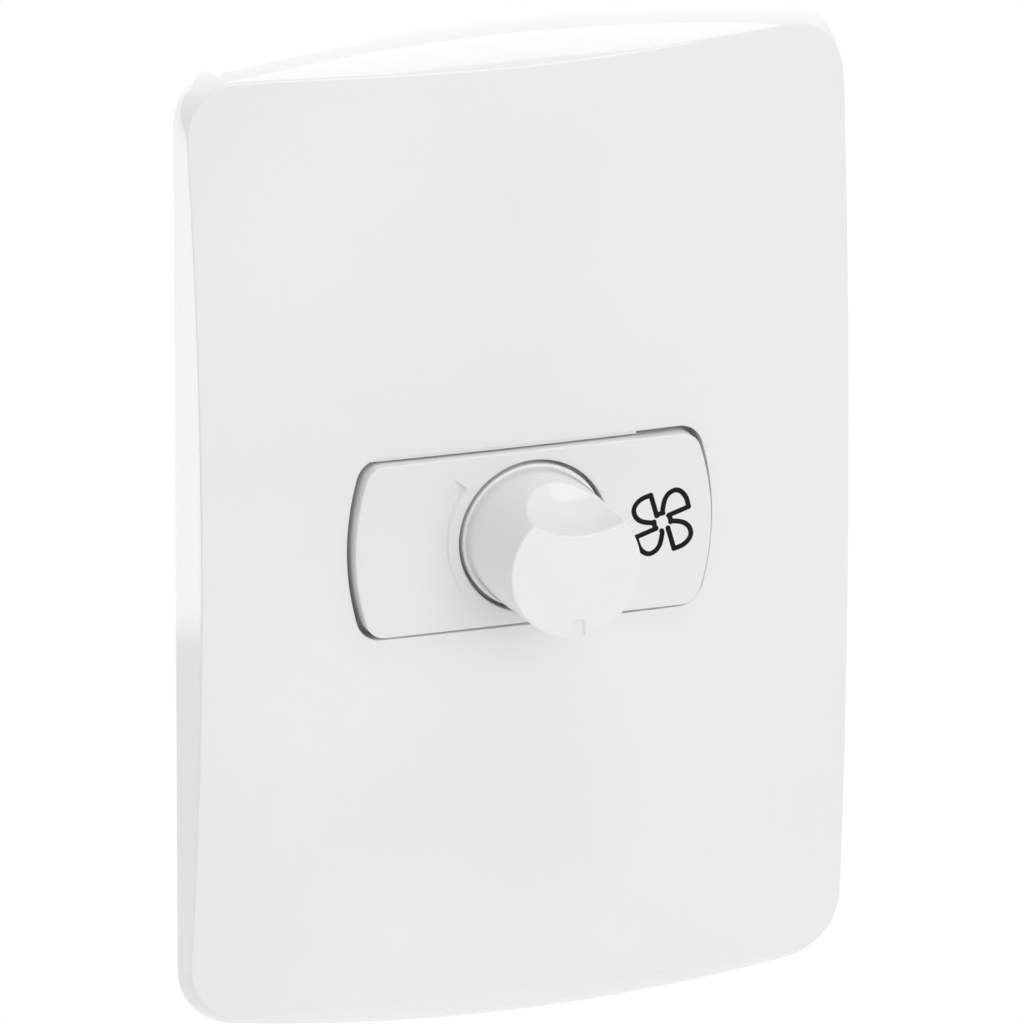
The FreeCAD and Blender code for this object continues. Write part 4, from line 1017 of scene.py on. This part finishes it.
def finish(name, dark, light, gloss, tone_size, relief_size, relief_height, stretch=(1, 1, 1),
           metallic=0.0, coat=0.0, specular=0.5, detail=2.0):
    """One finish: two tones of a colour, a range of roughness, and a relief in millimetres."""
    material = bpy.data.materials.new(name)
    material.use_nodes = True
    tree = material.node_tree
    shader = tree.nodes["Principled BSDF"]
    _, share = unevenness(tree, tone_size, stretch, TONE_DETAIL, 0, 1)
    tone = add(tree, "ShaderNodeMix", {0: share, 6: linear(dark), 7: linear(light)},
               data_type="RGBA")
    tree.links.new(tone.outputs[2], shader.inputs["Base Color"])
    relief, roughness = unevenness(tree, relief_size, stretch, detail, *gloss)
    tree.links.new(roughness, shader.inputs["Roughness"])
    bump = add(tree, "ShaderNodeBump", {"Height": relief, "Distance": relief_height * MM,
                                        "Strength": 1.0})
    tree.links.new(bump.outputs["Normal"], shader.inputs["Normal"])
    shader.inputs["Metallic"].default_value = metallic
    shader.inputs["Coat Weight"].default_value = coat
    shader.inputs["Specular IOR Level"].default_value = specular
    return material


print("noise between", NOISE_LOW, "and", NOISE_HIGH, "is spread over each finish's range")

# %% [markdown]
# The three mouldings are white ABS. The plate and the knob come from polished tools, so lamps show
# in them as clean shapes with edges that waver very slightly. The module front is a little duller.
# One white could serve all three, but the step in gloss shows where they meet.

# %% Finishes of the white mouldings
# after the two tones: roughness, the sizes of tone and relief, and the relief's height, in mm
FINISHES = {
    # polished moulding: nearly mirror gloss over white, with a very faint long ripple
    "plate_white": finish("polished_white_abs", "#ECECEC", "#EFEFEF", (0.05, 0.07), 30, 8, 0.002),
    # semi-gloss moulding: the same white, and a fine satin that blurs the lamps
    "module_white": finish("satin_white_abs", "#E9E9E9", "#EBEBEB", (0.16, 0.20), 20, 1.5, 0.0004),
    # polished moulding, seen close
    "knob_white": finish("polished_knob_abs", "#EDEDED", "#EFEFEF", (0.05, 0.08), 15, 6, 0.001),
}
print("white finishes", len(FINISHES))

# %% [markdown]
# The knob's spring and the parts of the control are rolled, turned, pressed or moulded. Metals
# show the direction they were worked in, so their noise is squeezed along one axis. Tool lines,
# fibres and spark grain are really some hundredths of a millimetre wide. They are drawn a tenth of
# a millimetre wide or more, so that they show.

# %% Finishes of the control
FINISHES.update({
    # rolled spring steel: grey, with lines along the strip
    "spring_steel": finish(
        "rolled_spring_steel", "#8F9197", "#A9ABB0", (0.22, 0.34), 2, 0.3, 0.002, (1, 8, 1),
        metallic=1.0),
    # turned or rolled aluminium: pale, with fine rings from the tool
    "aluminium": finish(
        "turned_aluminium", "#C3C4C8", "#D6D6D9", (0.24, 0.38), 3, 0.12, 0.003, (1, 6, 1),
        metallic=1.0),
    # machined brass: warm yellow, dulled in places by handling
    "brass": finish(
        "machined_brass", "#BF9A50", "#DDBB6C", (0.2, 0.38), 2.5, 0.15, 0.003, (1, 5, 1),
        metallic=1.0),
    # zinc plating: cool grey with faint cloudy crystals
    "zinc_steel": finish(
        "zinc_plated_steel", "#B4B8C0", "#D2D4D6", (0.26, 0.42), 1.2, 0.2, 0.003, metallic=1.0),
    # pressed phenolic laminate: brown, with paper fibres
    "phenolic": finish(
        "pressed_phenolic_laminate", "#6B3D22", "#87583A", (0.38, 0.55), 1.0, 0.15, 0.004,
        (3, 1, 1), detail=4.0),
    # black moulded case: dull, with a spark-eroded grain
    "black_plastic": finish(
        "spark_grained_black_nylon", "#18181A", "#232325", (0.38, 0.52), 3, 0.12, 0.006),
    # tinned brass: soft grey, smeared by the dip
    "tinned_brass": finish(
        "dip_tinned_brass", "#BFC1C3", "#D8D9DA", (0.3, 0.45), 0.8, 0.4, 0.006, metallic=1.0),
})
print("finishes with those of the control", len(FINISHES))

# %% [markdown]
# The plastics behind the face are plainer and rougher. Dipped, lacquered and painted parts show
# their coat, and clear coats over glass and copper get a gloss layer of their own. The ink is
# matt, because a glossy black would mirror the lamps and look grey.

# %% Finishes of the frame, the box and what it holds
FINISHES.update({
    # grey moulded frame: a fine even grain so that it doesn't shine
    "frame_plastic": finish(
        "grained_grey_nylon", "#AFB1B3", "#B8BABC", (0.42, 0.55), 12, 0.2, 0.006),
    # white moulded box at the back: plain tool finish
    "housing_plastic": finish(
        "tool_finish_white_nylon", "#DBDBD9", "#E0E0DE", (0.36, 0.48), 10, 0.4, 0.005),
    # paper laminate board: tan, with fibres along it
    "board_laminate": finish(
        "paper_laminate_board", "#AE9355", "#C2A86C", (0.35, 0.5), 1.5, 0.2, 0.004, (4, 1, 1),
        detail=4.0),
    # baked lacquer on ceramic: tan, egg-shell gloss with small pits
    "resistor_lacquer": finish(
        "baked_tan_lacquer", "#C9B287", "#D8C49C", (0.3, 0.42), 1, 0.15, 0.008),
    # sealed glass with copper colour inside
    "diode_glass": finish(
        "sealed_diode_glass", "#B4633A", "#D08050", (0.06, 0.12), 1, 0.5, 0.002, coat=1.0),
    # potted box: smooth yellow case
    "capacitor_yellow": finish(
        "moulded_yellow_case", "#DDBB50", "#E8C860", (0.2, 0.3), 3, 0.8, 0.003),
    # dipped resin: thick and glossy, with the slow waves of a dip coat
    "capacitor_red": finish(
        "dipped_red_resin", "#A83C26", "#BC5034", (0.1, 0.2), 2, 1.2, 0.02, coat=0.6),
    # painted powder core: yellow paint over a granular core
    "iron_powder": finish("painted_powder_core", "#D2C358", "#E0D272", (0.4, 0.6), 1, 0.2, 0.012),
    # enamelled wire: copper under clear varnish
    "enamelled_copper": finish(
        "enamelled_copper_wire", "#A8552C", "#C87848", (0.16, 0.28), 1.5, 0.3, 0.003,
        metallic=1.0, coat=0.7),
})
# matt printing ink: black that hardly shines
INK = finish("pad_printed_black_ink", "#141414", "#1C1C1C", (0.5, 0.6), 2, 0.15, 0.002,
             specular=0.1)
print("finishes with the ink", len(FINISHES) + 1)

# %% [markdown]
# The frame's record says which slot each solid belongs to, so each solid gets its slot's finish.
# The mouldings made above get the finish of the slot that they ride in, and the sign gets the ink.

# %% Finishes on the pieces
def dress(piece, material):
    """Puts one material on a piece, in its only slot."""
    piece.data.materials.clear()
    piece.data.materials.append(material)


slot_of = {part["node"]: part["material_slot"] for part in frame["record"]["subparts"]}
for name, node in nodes.items():
    dress(node, FINISHES[slot_of[name]])
dress(cover_plate, FINISHES["plate_white"])
dress(front_insert, FINISHES["module_white"])
dress(knob, FINISHES["knob_white"])
dress(fan_sign, INK)
print("dressed pieces", len(nodes) + 4)

# %% [markdown]
# The camera stands where the photograph was taken from: a long lens from 2.4 m, a little above the
# plate's axis and to its left. Its place and lens were fitted to the plate's outline, the opening
# and the knob's circles, so its aim is a fraction of a millimetre off the origin.

# %% Camera
# lens and sensor in millimetres, how far back and aside in millimetres, and the turns in degrees
LENS = 736.6
SENSOR = 36.0
CAMERA_BACK = 2397.4
CAMERA_AIM = (-0.60, -0.16)
CAMERA_LEFT, CAMERA_UP = 20.18, 17.80
CLIP_END = 100.0
turn_left = math.radians(CAMERA_LEFT)
turn_up = math.radians(CAMERA_UP)
toward = np.array([-math.sin(turn_left) * math.cos(turn_up),
                   -math.cos(turn_left) * math.cos(turn_up), math.sin(turn_up)])
right = np.array([math.cos(turn_left), -math.sin(turn_left), 0.0])
upward = np.cross(toward, right)
camera = into_scene("camera", bpy.data.cameras.new("camera"))
camera.data.lens = LENS
camera.data.sensor_width = SENSOR
camera.data.clip_end = CLIP_END
placed = np.eye(4)
placed[:3, :3] = np.stack([right, upward, toward], axis=1)
placed[:3, 3] = (-CAMERA_AIM[0] * right - CAMERA_AIM[1] * upward + CAMERA_BACK * toward) * MM
camera.matrix_world = Matrix(placed.tolist())
bpy.context.scene.camera = camera
print("camera at", [round(v, 3) for v in placed[:3, 3]])

# %% [markdown]
# The photograph's background is plain white. More light would make a pale floor white too, but it
# would wash out the plate. So a share of plain white is mixed in only for what the camera, a
# reflection or glass sees. The floor keeps a small share of its own shading, which holds the
# object's soft shadow. It lies well below, since the real thing is on a wall and not on a table.

# %% Floor
def shown_white(tree, shader_output, share):
    """Mixes in a share of plain white for what the camera, a reflection or glass sees."""
    path = add(tree, "ShaderNodeLightPath").outputs
    seen = path["Is Camera Ray"]
    for other, operation in ((path["Is Glossy Ray"], "MAXIMUM"),
                             (path["Is Transmission Ray"], "MAXIMUM"), (share, "MULTIPLY")):
        seen = add(tree, "ShaderNodeMath", {0: seen, 1: other}, operation=operation).outputs[0]
    on_world = shader_output.node.type == "BACKGROUND"
    white = add(tree, "ShaderNodeBackground" if on_world else "ShaderNodeEmission",
                {"Color": (1, 1, 1, 1), "Strength": 1.0})
    return add(tree, "ShaderNodeMixShader", {0: seen, 1: shader_output,
                                             2: white.outputs[0]}).outputs[0]


FLOOR_Z = -0.25
FLOOR_REACH = 12
FLOOR_WHITE = 0.85
FLOOR_ROUGHNESS = 0.8
corners = ((-1, -1), (1, -1), (1, 1), (-1, 1))
floor_mesh = bpy.data.meshes.new("floor")
floor_mesh.from_pydata([(x * FLOOR_REACH, y * FLOOR_REACH, FLOOR_Z) for x, y in corners], [],
                       [(0, 1, 2, 3)])
floor = into_scene("floor", floor_mesh)
floor_paint = bpy.data.materials.new("pale_floor")
floor_paint.use_nodes = True
tree = floor_paint.node_tree
paint = tree.nodes["Principled BSDF"]
paint.inputs["Base Color"].default_value = linear("#E6E6E6")
paint.inputs["Roughness"].default_value = FLOOR_ROUGHNESS
tree.links.new(shown_white(tree, paint.outputs[0], FLOOR_WHITE),
               tree.nodes["Material Output"].inputs["Surface"])
floor.data.materials.append(floor_paint)
print("floor at", FLOOR_Z, "with a share of plain white of", FLOOR_WHITE)

# %% [markdown]
# The world is an even white studio. It gives about half of the light, which fills the gap and the
# well, and it is plain white where it is seen straight on or in a reflection.

# %% White surroundings
WORLD_LIGHT = 0.49
world = bpy.data.worlds.new("studio")
bpy.context.scene.world = world
world.use_nodes = True
tree = world.node_tree
plain = tree.nodes["Background"]
plain.inputs["Color"].default_value = linear("#FFFFFF")
plain.inputs["Strength"].default_value = WORLD_LIGHT
tree.links.new(shown_white(tree, plain.outputs[0], 1.0),
               tree.nodes["World Output"].inputs["Surface"])
print("world light", WORLD_LIGHT)

# %% [markdown]
# The lamps are flat and large, like the soft boxes of a product picture, and each faces the
# origin. A wide one in front gives the face its even tone. Two above and one behind make the top
# flank bright and draw the highlight in the scoop. Weak ones at the sides and behind the left edge
# keep the flanks apart from the background. Together with the world they leave the face a little
# darker than the background, as in the photograph.

# %% Lamps
HIGH_UP = 0.7


def soft_lamp(name, place_at, size, power):
    """A flat soft lamp that faces the origin: place and size in metres, power in watts.

    Its width runs level, and along X where the lamp stands high overhead.
    """
    data = bpy.data.lights.new(name, "AREA")
    data.shape = "RECTANGLE"
    data.size, data.size_y = size
    data.energy = power
    lamp = into_scene(name, data)
    away = Vector(place_at).normalized()
    overhead = abs(away.z) > HIGH_UP
    sideways = Vector((1, 0, 0)) if overhead else Vector((0, 0, 1)).cross(away)
    sideways = (sideways - away * away.dot(sideways)).normalized()
    turned = Matrix((sideways, away.cross(sideways), away)).transposed().to_4x4()
    lamp.matrix_world = Matrix.Translation(place_at) @ turned
    lamp.visible_camera = False


# name, place, width and height in metres, and power in watts
LAMPS = [
    ("over_front", (0.28, -0.47, 1.50), (1.20, 0.72), 5.2),
    ("over_back", (-0.02, 0.80, 1.50), (0.80, 0.75), 11),
    ("behind_top", (0.05, 1.50, 1.00), (2.30, 0.45), 13),
    ("behind_left", (-0.36, 0.50, 0.10), (0.30, 0.65), 0.85),
    ("left_strip", (-1.60, -0.60, -0.05), (0.20, 1.50), 1.2),
    ("front", (0.5, -2.9, 1.05), (2.4, 1.6), 28.5),
    ("right_side", (2.0, -0.8, 0.4), (1.0, 1.4), 1.0),
]
for lamp in LAMPS:
    soft_lamp(*lamp)
print("lamps", len(LAMPS), "watts", round(sum(lamp[3] for lamp in LAMPS), 2))
